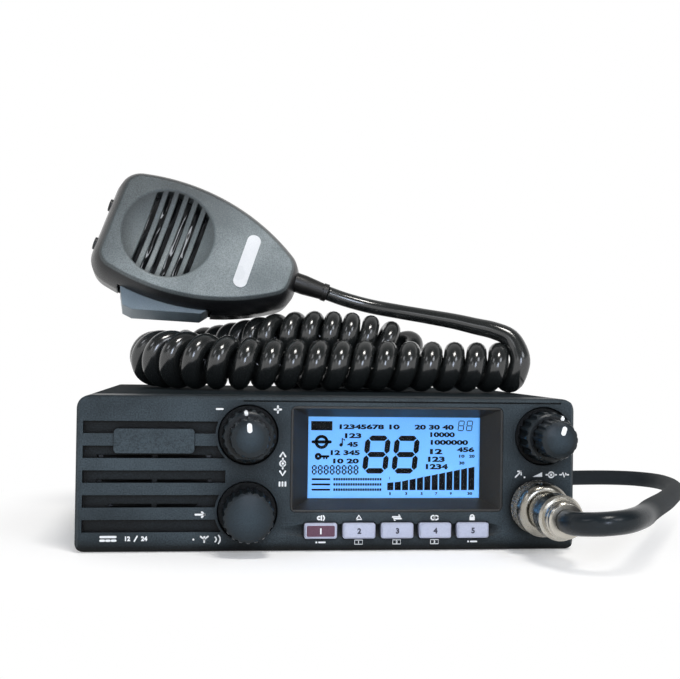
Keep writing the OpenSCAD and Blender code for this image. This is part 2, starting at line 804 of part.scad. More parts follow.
// Cast rear wall between the covers, with holes for the sockets
module rear_wall() {
  color("#4c4f53") difference() {
    along_y(wall_rear - rear_t, wall_rear) case_outline(cover_t + fit_gap);
    on_rear(antenna_x, antenna_z) disc(antenna_r + fit_gap, -rear_t - 2, 2);
    for (x = jack_x) on_rear(x, jack_z) disc(jack_r + fit_gap, -rear_t - 2, 2);
    along_y(wall_rear - rear_t - 1, rear_y + 1) translate([power_x, power_z])
      square([power_w + 2 * fit_gap, power_h + 2 * fit_gap], center = true);
  }
}

// Steel thread inserts for the mounting bracket, pressed into the rails
module bracket_inserts() {
  length = right_x - frame_inner_x + insert_depth;
  color("#b5b8bb") for (side = [0, 1], dy = [-1, 1]) mirror([side, 0, 0])
    translate([frame_inner_x - insert_depth, dy * bracket_spacing / 2, rail_z + rail_h / 2])
      rotate([0, 90, 0]) difference() {
        cylinder(r = insert_r, h = length);
        translate([0, 0, -1]) cylinder(r = bracket_hole_d / 2, h = length + 2);
      }
}

// Inside

module main_board() {
  margin = 0.4;
  w = 2 * (frame_inner_x - margin);
  color("#2a6b44") translate([-w / 2, board_front, board_z]) cube([w, board_rear - board_front, board_t]);
}

// The larger parts on the board: smoothing capacitors, screened coils, filter, processor, relay
module board_components() {
  top = board_z + board_t;
  for (i = [0 : 2]) color("#23252c") translate([-62 + i * 15, board_rear - 22, top]) cylinder(d = 12, h = 20);
  for (i = [0 : 4], j = [0, 1]) color("#c8cacc")
    translate([-20 + i * 13, board_front + 22 + j * 16, top]) cube([8, 8, 11]);
  color("#b9bcc0") translate([-66, board_front + 14, top]) cube([24, 12, 9]);
  color("#1d1d20") translate([50, board_front + 16, top]) cube([18, 18, 2.4]);
  color("#2b3640") translate([46, board_rear - 26, top]) cube([20, 14, 14]);
}

// Finned sink for the output stage on the rear wall
module heat_sink() {
  w = 74;
  h = 38;
  x0 = left_x + 7;
  base_t = 3;
  fin_t = 1.8;
  fin_count = 11;
  depth = 13;
  color("#1b1c1e") translate([x0, wall_rear, (body_h - h) / 2]) {
    cube([w, base_t, h]);
    for (i = [0 : fin_count - 1])
      translate([i * (w - fin_t) / (fin_count - 1), base_t - join, 0]) cube([fin_t, depth - base_t, h]);
  }
}

// Aerial socket: threaded barrel with a flange, and a nut inside the wall
module antenna_socket() {
  color("#c9cbce") on_rear(antenna_x, antenna_z) difference() {
    union() {
      disc(antenna_r, -9, 14);
      disc(antenna_r + 3, -0.4, 1.6);
      translate([0, 0, -6.4]) cylinder(r = antenna_r + 3, h = 3, $fn = 6);
    }
    disc(antenna_r - 2, 2, 15);
    disc(3, -10, 3);
  }
}

module antenna_insulator() {
  color("#e9e4d6") on_rear(antenna_x, antenna_z) difference() {
    union() {
      disc(antenna_r - 2, 2, 11);
      disc(3, -10, 2 + join);
    }
    disc(1.95, -2, 12);
  }
}

// Power inlet: a keyed box with two flat blades
module power_socket() {
  wall = 1.5;
  inside = 9;
  floor_y = rear_y - 3;
  mouth_y = rear_y + 10;
  blade = [0.8, 8, 4];
  blade_x = 6.6;
  color("#1a1a1c") difference() {
    translate([power_x - power_w / 2, rear_y - inside, power_z - power_h / 2])
      cube([power_w, mouth_y - rear_y + inside, power_h]);
    translate([power_x - power_w / 2 + wall, floor_y, power_z - power_h / 2 + wall])
      cube([power_w - 2 * wall, mouth_y - floor_y + 1, power_h - 2 * wall]);
  }
  color("#cfae5a") for (dx = [-1, 1])
    translate([power_x + dx * blade_x - blade[0] / 2, floor_y - join, power_z - blade[2] / 2]) cube(blade);
}

// Two jack sockets for outside loudspeakers
module jack_sockets() {
  color("#2a2b2d") for (x = jack_x) on_rear(x, jack_z) difference() {
    union() {
      disc(jack_r, -12, 2.6);
      disc(jack_r + 1.4, -0.4, 1.4);
    }
    disc(1.75, -11, 3);
  }
}

// Hand microphone, modelled with its face upright and its long axis level, then set in its place

mic_x = -59;
mic_y = 10;
mic_z = body_h + 62.4;
mic_yaw = 4;
mic_corner = 7;
mic_side_r = 84;
mic_top_end = -23.2;
mic_wide_at = 2;
mic_back_wall = 6;
cord_exit_v = 2;
cord_exit_w = 9.5;
sleeve_r = 4.1;
lever_front = 8;
lever_back = 21;
lever_side = -mic_w / 2;
lever_slack = 0.4;
lever_wall = 1.6;
pin_u = 22;
pin_v = 4.4 - mic_w / 2;
pin_r = 1.2;
button_r = 2.6;
button_v = 9;
button_w = 15.4;
button_end = mic_top_end - mic_flare - 1.4;

module mic_place() {
  translate([mic_x, mic_y, mic_z]) rotate([0, 0, mic_yaw]) rotate([-mic_lean, 0, 0]) rotate([0, mic_tilt, 0])
    children();
}

// Front view of the microphone: two shallow side arcs, square ends, rounded corners
module mic_outline(grow) {
  offset(r = mic_corner + grow, $fn = 48) offset(delta = -mic_corner) intersection() {
    intersection_for (side = [-1, 1])
      translate([mic_wide_at, side * (mic_side_r - mic_w / 2)]) circle(r = mic_side_r, $fn = 160);
    translate([mic_top_end, -mic_w / 2]) square([mic_len, mic_w]);
  }
}

module mic_slice(depth, grow) {
  along_y(depth - 0.05, depth + 0.05) mic_outline(grow);
}

// Cuts that both shells share: lever opening, pivot hole, cord sleeve and button holes
module mic_cuts() {
  translate([-12.2, lever_front - lever_slack, lever_side - 9])
    cube([38.8, lever_back - lever_front + 2 * lever_slack, 17.6]);
  translate([pin_u, 3, pin_v]) rotate([-90, 0, 0]) cylinder(r = pin_r, h = 23);
  translate([40, cord_exit_w, cord_exit_v]) rotate([0, 90, 0]) cylinder(r = sleeve_r + fit_gap, h = 30);
  for (side = [-1, 1]) translate([-30, button_w, side * button_v]) rotate([0, 90, 0])
    cylinder(r = button_r + key_gap, h = 14);
}

module mic_front_shell() {
  dish_r = (grille_r * grille_r + grille_depth * grille_depth) / (2 * grille_depth);
  color("#3b3d40") mic_place() difference() {
    hull() {
      mic_slice(0.05, -1.2);
      mic_slice(1.3, 0);
      mic_slice(4, mic_flare / 2);
      mic_slice(mic_seam - 0.1, mic_flare);
    }
    hull() {
      mic_slice(mic_back_wall, -mic_wall - 0.4);
      mic_slice(mic_seam + 1, mic_flare - mic_wall);
    }
    translate([0, grille_depth - dish_r, 0]) sphere(r = dish_r, $fn = 128);
    along_y(-1, mic_back_wall + 1) intersection() {
      circle(r = grille_r - 1);
      for (i = [0 : slot_count - 1]) translate([slot_shift + (i - (slot_count - 1) / 2) * slot_pitch, 0])
        square([slot_w, 2 * grille_r], center = true);
    }
    mic_cuts();
  }
}

module mic_rear_shell() {
  inner_back = mic_t - mic_wall;
  color("#2c2d30") mic_place() difference() {
    hull() {
      mic_slice(mic_seam + 0.1, mic_flare);
      mic_slice(mic_seam + 8, mic_flare - 0.6);
      translate([-3, 0, 0]) mic_slice(mic_t - 3, -2);
      translate([-5, 0, 0]) mic_slice(mic_t - 0.05, -6);
    }
    hull() {
      mic_slice(mic_seam - 1, mic_flare - mic_wall);
      mic_slice(mic_seam + 8, mic_flare - 0.6 - mic_wall);
      translate([-4, 0, 0]) mic_slice(inner_back - 0.5, -5.6);
    }
    mic_cuts();
  }
}

// Gloss film behind the grille
module mic_screen() {
  color("#0c0c0d") mic_place() translate([0, mic_back_wall + fit_gap, 0]) rotate([-90, 0, 0])
    cylinder(r = grille_r - 0.4, h = 0.6);
}

// Circuit board with the capsule in its holder, the key switches and the lever's switch
module mic_board() {
  w = mic_seam + 7;
  board_w = mic_w - 20.8;
  mic_place() {
    color("#2a6b44") translate([-15, w, -board_w / 2]) cube([48, 1.4, board_w]);
    color("#9a9da2") translate([0, mic_back_wall + 1.2, 0]) rotate([-90, 0, 0])
      cylinder(d = 9.7, h = w - mic_back_wall - 1.2);
    color("#3a3a3c") {
      translate([-3, w - 5, lever_side + 7]) cube([10, 5, 5]);
      for (side = [-1, 1]) translate([-17.6, w - 5.6, side * button_v - 2.6]) cube([4.6, 5.6, 5.2]);
    }
  }
}

// Press-to-talk lever: pivots at its low end, sprung outwards at the other, hollow with a rib for the switch
module ptt_lever() {
  color("#4c4e52") mic_place() difference() {
    along_y(lever_front, lever_back) translate([0, lever_side]) polygon([[-10.6, 3.9], [-10.9, -2.1],
      [-7.6, -8.6], [-3.5, -9.2], [23, -1.5], [25.4, 1.6], [25.4, 6.8], [18.6, 6.8], [14, 3.9]]);
    translate([pin_u, lever_front - 1, pin_v]) rotate([-90, 0, 0])
      cylinder(r = pin_r + running_gap, h = lever_back - lever_front + 2);
    difference() {
      translate([-8.6, lever_front + lever_wall, lever_side - 2.6])
        cube([26, lever_back - lever_front - 2 * lever_wall, 12]);
      translate([0, lever_front, lever_side - 3.6]) cube([4, lever_back - lever_front, 8.4]);
    }
  }
}

module ptt_pin() {
  color("#c4c6c8") mic_place() translate([pin_u, 5, pin_v]) rotate([-90, 0, 0]) cylinder(r = pin_r, h = 19);
}

// Push button in the microphone's upper end: cap, retaining collar and stem
module mic_button(side) {
  color("#232426") mic_place() translate([0, button_w, side * button_v]) rotate([0, 90, 0]) {
    disc(button_r, button_end, -18.6);
    disc(button_r + 0.8, button_end + 4.2, button_end + 5.2);
  }
}

module mic_up_button() { mic_button(1); }
module mic_down_button() { mic_button(-1); }

// Stud on the back that hangs in a dashboard clip
module mic_hang_stud() {
  color("#3a3b3d") mic_place() translate([6, mic_t, 0]) rotate([-90, 0, 0]) rotate_extrude()
    polygon([[0, 0], [6, 0], [4.5, 1], [4.5, 3.4], [8.6, 3.8], [8.6, 5.4], [7.6, 6.4], [0, 6.8]]);
}

// Bare light plate on the face
module mic_label_plate() {
  plate_len = 23.4;
  plate_wide = 5.6;
  color("#eef0f0") mic_place() along_y(-0.35, 0) translate([33.5, 0])
    rounded_rect(plate_wide, plate_len, plate_wide / 2 - 0.1);
}

module mic_strain_relief() {
  color("#1a1a1c") mic_place() translate([0, cord_exit_w, cord_exit_v]) rotate([0, 90, 0]) {
    disc(sleeve_r, 48, 59);
    translate([0, 0, 59 - join]) cylinder(r1 = sleeve_r, r2 = lead_d / 2 + 0.4, h = 8);
    disc(lead_d / 2 + 0.7, 67 - 2 * join, 69);
  }
}

// Cord: from the microphone's sleeve to the curls on the lid, and from the curls to the plug

function unit(v) = v / norm(v);

function tangents(p) = [for (i = [0 : len(p) - 1]) unit(p[min(i + 1, len(p) - 1)] - p[max(i - 1, 0)])];

// Carries one side direction along the route without twist
function side_directions(t, s, i = 0) = i == len(t) ? [] :
  let (m = unit(s - (s * t[i]) * t[i])) concat([m], side_directions(t, m, i + 1));

// Closed tube of radius r along the points p, with n sides; s is the first side direction
module tube(p, r, n, s) {
  t = tangents(p);
  a = side_directions(t, s);
  points = [for (i = [0 : len(p) - 1], k = [0 : n - 1])
    p[i] + r * (cos(360 * k / n) * a[i] + sin(360 * k / n) * cross(t[i], a[i]))];
  last = (len(p) - 1) * n;
  faces = concat([[for (k = [0 : n - 1]) k]], [[for (k = [n - 1 : -1 : 0]) last + k]],
    [for (i = [0 : len(p) - 2], k = [0 : n - 1])
      [i * n + k, (i + 1) * n + k, (i + 1) * n + (k + 1) % n, i * n + (k + 1) % n]]);
  polyhedron(points = points, faces = faces);
}

curl_d = 20.2;

mic_lead_route = [[6.5, 18.4, 92.1], [14, 18.2, 89.6], [24, 17, 87], [35, 13.5, 84.9], [46, 8.5, 82.9],
  [57, 3, 80.8], [65, -1.2, 78.8], [72, -4.8, 77], [77.6, -7.4, 74.2], [80.2, -9.6, 69.4],
  [80.8, -11.2, 64.8], [79.4, -12, 60.4]];

curl_route = [[75.5, -5.6, 62.3], [58, -5.6, 62.3], [40, -5.6, 62.3], [20, -5.6, 62.3], [0, -5.6, 62.3],
  [-14, -5.6, 62.3], [-25, -5.5, 62.3], [-35, -4, 62.3], [-44.5, -0.1, 62.3], [-52.8, 6.2, 62.3],
  [-59.2, 14.4, 62.3], [-63.2, 24, 62.6], [-63.2, 33.4, 63.3], [-58.4, 40.6, 64.3], [-50.4, 42.4, 65.8],
  [-42, 38.4, 67.4], [-33, 31, 69.2], [-23, 22.6, 71.2], [-12, 15, 73.4], [0, 11.6, 74.3], [12, 11, 74.2],
  [22, 11.6, 73.2], [31, 12.8, 71], [37.8, 16.4, 68.2], [40.8, 22.4, 65.3], [38.6, 28.6, 63.1],
  [32.2, 31.8, 62.3], [23, 31, 62.3], [13, 29.6, 62.3], [4, 29.2, 62.3]];

plug_lead_route = [[2, 29.4, 55.9], [-1.4, 31.4, 55.9], [-6, 35, 55.9], [-8.6, 40.6, 55.9], [-6.4, 47, 55.9],
  [0, 51.6, 55.9], [10, 53.8, 55.9], [24, 54.2, 55.9], [38, 54.8, 55.9], [51, 58, 55.9], [62, 64, 56.4],
  [69.6, 71, 56], [74.6, 77.4, 50], [76.8, 81.6, 40], [77.8, 83.4, 29], [79.6, 86, 18], [83.6, 91, 9.5],
  [91, 98.4, 5], [102, 106, 4], [118, 113, 4], [136, 118, 4], [153, 121.4, 4], [167, 121.8, 4],
  [178, 118.4, 4], [184.4, 110, 4.1], [185.2, 97, 4.6], [181, 78, 5.6], [173.4, 55, 7], [163.6, 30, 8.8],
  [152, 5, 10.6], [139.6, -20, 12.3], [128, -42, 13.6], [118.2, -60, 14.8], [109.6, -75.6, 15.8],
  [102.6, -88.4, 16.5], [97, -98.6, 16.8], [91.6, -106.4, 16.8], [85.6, -111.4, 16.5], [79.2, -112.2, 16],
  [74, -109, 15.4], [71.3, -104.4, 15], [71.1, -100.2, 15]];

module mic_lead() { color("#161617") tube(mic_lead_route, lead_d / 2, 10, [0, 0, 1]); }
module curly_cord() { color("#161617") tube(curl_route, curl_d / 2, 12, [0, 0, 1]); }
module plug_lead() { color("#161617") tube(plug_lead_route, cord_d / 2, 10, [0, 0, 1]); }

front_panel();
display_bezel();
display_lens();
lcd_glass();
lcd_backlight();
front_board();
key_1();
key_2();
key_3();
key_4();
key_5();
clarifier_pot();
clarifier_coarse_shaft();
clarifier_coarse_knob();
clarifier_fine_shaft();
clarifier_fine_knob();
channel_encoder();
channel_plunger();
channel_shaft();
channel_knob();
volume_pot();
squelch_shaft();
squelch_knob();
volume_shaft();
volume_knob();
speaker();
speaker_cone();
mic_socket();
mic_socket_insert();
plug_ring();
plug_washer();
plug_shell();
plug_clamp();
side_rails();
rear_wall();
top_cover();
bottom_cover();
cover_screws();
bracket_inserts();
main_board();
board_components();
heat_sink();
antenna_socket();
antenna_insulator();
power_socket();
jack_sockets();
mic_front_shell();
mic_rear_shell();
mic_screen();
mic_board();
ptt_lever();
ptt_pin();
mic_up_button();
mic_down_button();
mic_hang_stud();
mic_label_plate();
mic_strain_relief();
mic_lead();
curly_cord();
plug_lead();
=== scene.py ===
import math

import bpy
import numpy as np
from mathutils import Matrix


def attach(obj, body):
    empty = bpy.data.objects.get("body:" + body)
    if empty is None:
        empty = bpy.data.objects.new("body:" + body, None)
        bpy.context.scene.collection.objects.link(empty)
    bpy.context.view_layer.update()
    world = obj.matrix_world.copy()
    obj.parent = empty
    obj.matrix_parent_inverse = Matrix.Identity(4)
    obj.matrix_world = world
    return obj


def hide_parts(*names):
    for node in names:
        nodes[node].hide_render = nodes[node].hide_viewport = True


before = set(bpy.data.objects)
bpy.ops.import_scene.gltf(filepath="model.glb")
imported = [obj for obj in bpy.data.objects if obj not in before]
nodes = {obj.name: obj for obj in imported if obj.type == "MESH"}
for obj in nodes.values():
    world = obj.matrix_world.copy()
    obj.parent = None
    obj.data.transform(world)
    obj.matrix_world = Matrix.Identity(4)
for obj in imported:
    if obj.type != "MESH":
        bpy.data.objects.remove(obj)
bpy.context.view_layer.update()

# Studio: a white paper floor, white walls low down and behind, a dimmer room in front and above, five soft lamps.
# The camera stands where the photographer stood, left of the middle and just above the lid.
scene = bpy.context.scene
scene.view_settings.view_transform = "Standard"
MM = 0.001
WHITE = (1.0, 1.0, 1.0, 1.0)

photo_focal_px = 1093.2
photo_width_px = 680
sensor_mm = 36.0
camera = bpy.data.objects.new("camera", bpy.data.cameras.new("camera"))
camera.data.sensor_fit = "HORIZONTAL"
camera.data.sensor_width = sensor_mm
camera.data.lens = sensor_mm * photo_focal_px / photo_width_px
camera.data.clip_start = 0.01
camera.location = np.array([-41.0, -433.9, 66.0]) * MM
camera.rotation_euler = [math.radians(a) for a in (90.867, -0.780, -6.716)]
scene.collection.objects.link(camera)
scene.camera = camera


def linear(code):
    """A colour written as six hex digits, turned into the linear values that a shader takes."""
    srgb = np.array([int(code[i:i + 2], 16) for i in (0, 2, 4)]) / 255
    low = srgb / 12.92
    high = ((srgb + 0.055) / 1.055) ** 2.4
    return tuple(float(c) for c in np.where(srgb <= 0.04045, low, high)) + (1.0,)


def put_mesh(name, points, faces, material=None, smooth=True):
    """A new object at the origin from an array of points in metres and a list of faces."""
    mesh = bpy.data.meshes.new(name)
    mesh.from_pydata(np.asarray(points, float).tolist(), [], [list(map(int, f)) for f in faces])
    mesh.polygons.foreach_set("use_smooth", np.full(len(mesh.polygons), smooth))
    mesh.update()
    piece = bpy.data.objects.new(name, mesh)
    scene.collection.objects.link(piece)
    if material:
        mesh.materials.append(material)
    return piece


class Finish:
    """The nodes of one material or of the room. A value is a number, a colour in hex digits or the socket of another
    node, and each method that adds a node gives back that node's output socket."""

    def __init__(self, name, family=bpy.data.materials, coordinates="Object"):
        self.owner = family.new(name)
        self.owner.use_nodes = True
        self.tree = self.owner.node_tree
        self.place = self.add("ShaderNodeTexCoord", coordinates)

    def put(self, socket, value):
        """Sets a socket to a value, or links it to another socket."""
        if isinstance(value, bpy.types.NodeSocket):
            self.tree.links.new(value, socket)
        else:
            socket.default_value = linear(value) if isinstance(value, str) else value

    def add(self, kind, output, values=None, **settings):
        """A node of any kind."""
        made = self.tree.nodes.new(kind)
        for key, value in settings.items():
            setattr(made, key, value)
        for key, value in (values or {}).items():
            self.put(made.inputs[key], value)
        return made.outputs[output]

    def surface(self, values):
        """Sets or links the inputs of the material's shader, and gives the finished material."""
        for key, value in values.items():
            self.put(self.tree.nodes["Principled BSDF"].inputs[key], value)
        return self.owner

    def math(self, operation, *values, **settings):
        """Arithmetic on one to three values."""
        return self.add("ShaderNodeMath", 0, dict(enumerate(values)), operation=operation, **settings)

    def axis(self, letter):
        """One coordinate of the place."""
        return self.add("ShaderNodeSeparateXYZ", letter, {"Vector": self.place})

    def dot(self, vector, direction):
        """Distance along a direction."""
        return self.add("ShaderNodeVectorMath", "Value", {0: vector, 1: tuple(direction)}, operation="DOT_PRODUCT")

    def ramp(self, value, first, last, low=0.0, high=1.0, smooth=False):
        """The value carried from the range first to last on to the range low to high, and held beyond its ends."""
        return self.add("ShaderNodeMapRange", "Result", {"Value": value, "From Min": first, "From Max": last,
                                                         "To Min": low, "To Max": high},
                        interpolation_type="SMOOTHSTEP" if smooth else "LINEAR")

    def noise(self, scale, detail=2.0, place=None):
        """Soft noise with so many cells to the metre."""
        return self.add("ShaderNodeTexNoise", "Fac", {"Vector": place or self.place, "Scale": scale, "Detail": detail})

    def mix(self, factor, a, b, blend="MIX"):
        """Two tones mixed or multiplied."""
        return self.add("ShaderNodeMix", "Result", {"Factor": factor, "A": a, "B": b}, data_type="RGBA",
                        blend_type=blend)

    def bump(self, height, distance, strength=1.0, edge=0.0, samples=4):
        """Normal of a surface in relief, with edges rounded off by the radius edge where that is given."""
        values = {"Height": height, "Strength": strength, "Distance": distance}
        if edge:
            values["Normal"] = self.add("ShaderNodeBevel", "Normal", {"Radius": edge}, samples=samples)
        return self.add("ShaderNodeBump", "Normal", values)


paper = Finish("floor_paper")
paper.surface({"Base Color": paper.mix(paper.noise(300.0), "f8f8f8", "fcfcfc"), "Roughness": 0.9,
               "Specular IOR Level": 0.0, "Emission Color": WHITE, "Emission Strength": 0.2})
fade_start, fade_end = 0.085, 0.17
away = paper.add("ShaderNodeVectorMath", "Value", {0: paper.place}, operation="LENGTH")
light_path = paper.tree.nodes.new("ShaderNodeLightPath").outputs
seen = paper.math("ADD", light_path["Is Camera Ray"], light_path["Is Glossy Ray"])
seen = paper.math("ADD", seen, light_path["Is Transmission Ray"], use_clamp=True)
part_white = paper.math("MULTIPLY", seen, paper.ramp(away, fade_start, fade_end, smooth=True))
white = paper.add("ShaderNodeEmission", 0, {"Color": WHITE, "Strength": 1.0})
paper_shader = paper.tree.nodes["Principled BSDF"].outputs[0]
paper_and_white = paper.add("ShaderNodeMixShader", 0, {0: part_white, 1: paper_shader, 2: white})
paper.put(paper.tree.nodes["Material Output"].inputs["Surface"], paper_and_white)

floor_reach = 6.0
floor_under = -0.0003
floor_corners = [(x * floor_reach, y * floor_reach, floor_under) for x, y in ((-1, -1), (1, -1), (1, 1), (-1, 1))]
floor = put_mesh("floor", floor_corners, [(0, 1, 2, 3)], paper.owner, smooth=False)

room = Finish("room", bpy.data.worlds, "Generated")
scene.world = room.owner
back_wall = room.ramp(room.axis("Y"), -0.2, 0.5, 0.24, 1.0, smooth=True)
ceiling = room.ramp(room.axis("Z"), 0.40, 0.75, 1.0, 0.50, smooth=True)
horizon = room.ramp(room.axis("Z"), 0.28, 0.44, 1.0, 0.0, smooth=True)
background = room.tree.nodes["Background"].inputs
room.put(background["Strength"], room.math("MAXIMUM", room.math("MULTIPLY", back_wall, ceiling), horizon))
room.put(background["Color"], WHITE)


def soft_lamp(name, place, target, width, height, watts, tint):
    """A rectangular soft lamp at a place in metres, turned towards a target."""
    lamp = bpy.data.lights.new(name, "AREA")
    lamp.shape = "RECTANGLE"
    lamp.size = width
    lamp.size_y = height
    lamp.energy = watts
    lamp.color = linear(tint)[:3]
    holder = bpy.data.objects.new(name, lamp)
    scene.collection.objects.link(holder)
    back = np.array(place, float) - np.array(target, float)
    length = np.linalg.norm(back)
    holder.location = place
    holder.rotation_euler = (math.acos(back[2] / length), 0.0, math.atan2(back[0], -back[1]))
    holder.visible_camera = False


soft_lamp("lamp_over", (0.10, -0.40, 0.80), (0.0, 0.0, 0.06), 0.22, 0.18, 3.2, "fffcf7")
soft_lamp("lamp_right", (0.36, -0.62, 0.50), (0.0, 0.0, 0.07), 0.24, 0.22, 0.9, "f2f7ff")
soft_lamp("lamp_left", (-0.62, -0.32, 0.62), (0.0, 0.0, 0.07), 0.20, 0.20, 0.4, "f6f9ff")
soft_lamp("lamp_low_left", (-0.52, -0.66, 0.42), (0.0, 0.0, 0.07), 0.20, 0.20, 0.2, "f6f9ff")
soft_lamp("lamp_window", (0.02, -0.92, 0.30), (0.0, 0.0, 0.06), 0.20, 0.28, 1.8, "dde9ff")


# Cord: one black jacketed lead from the microphone to the plug, wound into tight curls in its middle.
# The curls lie on the lid in three rows: a front row, a row resting on the other two, and a rear row.
# The wire is drawn thicker in the front row, as in the photo. The plug lead shines only in its bend at the plug.
cord_d = 7.5 * MM
lead_d = 6.0 * MM
curl_d = 20.2 * MM
first_turn = np.array([(79.2, -5.6, 62.3)]) * MM

mic_lead_route = np.array([
    (6.5, 18.4, 92.1), (14, 18.2, 89.6), (24, 17, 87), (35, 13.5, 84.9), (46, 8.5, 82.9), (57, 3, 80.8),
    (65, -1.2, 78.8), (72, -4.8, 77), (77.6, -7.4, 74.2), (80.2, -9.6, 69.4), (80.8, -11.2, 64.8)]) * MM
curl_route = np.array([
    (75.5, -5.6, 62.3), (58, -5.6, 62.3), (40, -5.6, 62.3), (20, -5.6, 62.3), (0, -5.6, 62.3), (-14, -5.6, 62.3),
    (-25, -5.5, 62.3), (-35, -4, 62.3), (-44.5, -0.1, 62.3), (-52.8, 6.2, 62.3), (-59.2, 14.4, 62.3),
    (-63.2, 24, 62.6), (-63.2, 33.4, 63.3), (-58.4, 40.6, 64.3), (-50.4, 42.4, 65.8), (-42, 38.4, 67.4),
    (-33, 31, 69.2), (-23, 22.6, 71.2), (-12, 15, 73.4), (0, 11.6, 74.3), (12, 11, 74.2), (22, 11.6, 73.2),
    (31, 12.8, 71), (37.8, 16.4, 68.2), (40.8, 22.4, 65.3), (38.6, 28.6, 63.1), (32.2, 31.8, 62.3),
    (23, 31, 62.3), (13, 29.6, 62.3), (4, 29.2, 62.3)]) * MM
plug_lead_route = np.array([
    (-1.4, 31.4, 55.9), (-6, 35, 55.9), (-8.6, 40.6, 55.9), (-6.4, 47, 55.9), (0, 51.6, 55.9), (10, 53.8, 55.9),
    (24, 54.2, 55.9), (38, 54.8, 55.9), (51, 58, 55.9), (62, 64, 56.4), (69.6, 71, 56), (74.6, 77.4, 50),
    (76.8, 81.6, 40), (77.8, 83.4, 29), (79.6, 86, 18), (83.6, 91, 9.5), (91, 98.4, 5), (102, 106, 4), (118, 113, 4),
    (136, 118, 4), (153, 121.4, 4), (167, 121.8, 4), (178, 118.4, 4), (184.4, 110, 4.1), (185.2, 97, 4.6),
    (181, 78, 5.6), (173.4, 55, 7), (163.6, 30, 8.8), (152, 5, 10.6), (139.6, -20, 12.3), (128, -42, 13.6),
    (118.2, -60, 14.8), (109.6, -75.6, 15.8), (102.6, -88.4, 16.5), (97, -98.6, 16.8), (91.6, -106.4, 16.8),
    (85.6, -111.4, 16.5), (79.2, -112.2, 16), (74, -109, 15.4), (71.3, -104.4, 15), (71.1, -100.2, 15)]) * MM


def smooth_line(points, step):
    """Centripetal Catmull-Rom curve: each stretch from b to c is a blend of blends of its four nearest points,
    weighed by knots that are the square root of the distance apart. Then points an even step apart on it."""
    per_stretch = 24
    ends = np.vstack([2 * points[0] - points[1], points, 2 * points[-1] - points[-2]])
    knot = np.concatenate([[0], np.cumsum(np.sqrt(np.linalg.norm(np.diff(ends, axis=0), axis=1)))])
    a, b, c, d = (ends[i:len(ends) - 3 + i, None] for i in range(4))
    ka, kb, kc, kd = (knot[i:len(knot) - 3 + i, None, None] for i in range(4))
    t = kb + (kc - kb) * np.linspace(0, 1, per_stretch, endpoint=False)[None, :, None]
    ab = ((kb - t) * a + (t - ka) * b) / (kb - ka)
    bc = ((kc - t) * b + (t - kb) * c) / (kc - kb)
    cd = ((kd - t) * c + (t - kc) * d) / (kd - kc)
    abc = ((kc - t) * ab + (t - ka) * bc) / (kc - ka)
    bcd = ((kd - t) * bc + (t - kb) * cd) / (kd - kb)
    curve = ((kc - t) * abc + (t - kb) * bcd) / (kc - kb)
    curve = np.vstack([curve.reshape(-1, 3), points[-1:]])
    run = np.concatenate([[0], np.cumsum(np.linalg.norm(np.diff(curve, axis=0), axis=1))])
    even = np.linspace(0, run[-1], max(2, int(round(run[-1] / step)) + 1))
    return np.stack([np.interp(even, run, curve[:, i]) for i in range(3)], axis=1)


def carried_frame(line, first_side):
    """Direction of the line at each point, and two side directions carried along it without twist."""
    along = np.gradient(line, axis=0)
    along /= np.linalg.norm(along, axis=1)[:, None]
    side = np.empty_like(line)
    carried = np.array(first_side, float)
    for i, direction_here in enumerate(along):
        carried = carried - direction_here * (carried @ direction_here)
        carried = carried / np.linalg.norm(carried)
        side[i] = carried
    return along, side, np.cross(along, side)


def curl_turns(axis_points):
    """Left-handed helix about a curved axis, and the wire's radius at each of its points. Turns lie a free pitch apart
    on straight stretches, and open in bends. The wire thins from the front row to the others, and the helix keeps
    its outer diameter, but for a swell in the left bend that follows the photo."""
    step = 0.5 * MM
    front_row_end, other_rows_start = 140 * MM, 180 * MM
    front_pitch, other_pitch = 8.9 * MM, 7.2 * MM
    front_r, other_r = 4.1 * MM, 3.6 * MM
    swell_height, swell_middle, swell_width = 1.6 * MM, 146 * MM, 32 * MM
    closed_share, least_room = 1.8, 0.62
    first_angle = math.radians(250)
    smoothing = 15
    per_turn = 16

    axis = smooth_line(axis_points, step)
    along, up, back = carried_frame(axis, (0, 0, 1))
    run = np.arange(len(axis)) * step
    rows = [front_row_end, other_rows_start]
    free_pitch = np.interp(run, rows, [front_pitch, other_pitch])
    wire_r = np.interp(run, rows, [front_r, other_r])
    swell = swell_height * np.exp(-((run - swell_middle) / swell_width) ** 2)
    radius = curl_d / 2 - wire_r + swell
    axis[:, 2] += swell
    bend = np.linalg.norm(np.gradient(along, step, axis=0), axis=1)
    closed_pitch = closed_share * wire_r / np.clip(1 - bend * radius, least_room, 1)
    pitch = np.maximum(free_pitch, closed_pitch)
    window = np.hanning(2 * smoothing + 1)
    pitch = np.convolve(np.pad(pitch, smoothing, mode="edge"), window / window.sum(), mode="valid")
    last_down = math.atan2(-back[-1, 2], -up[-1, 2])
    free_turn = np.cumsum(step / pitch)
    turns = (first_angle - last_down) / (2 * math.pi)
    whole = round(free_turn[-1] - turns) + turns
    angle = first_angle - 2 * math.pi * free_turn * whole / free_turn[-1]
    even = np.linspace(angle[0], angle[-1], int(whole * per_turn))
    station = np.arange(len(axis))
    at = np.interp(-even, -angle, station)
    pick = [np.stack([np.interp(at, station, a[:, i]) for i in range(3)], axis=1) for a in (axis, up, back)]
    reach = np.interp(at, station, radius)[:, None]
    helix = pick[0] + reach * (np.cos(even)[:, None] * pick[1] + np.sin(even)[:, None] * pick[2])
    return helix, np.interp(at, station, wire_r)


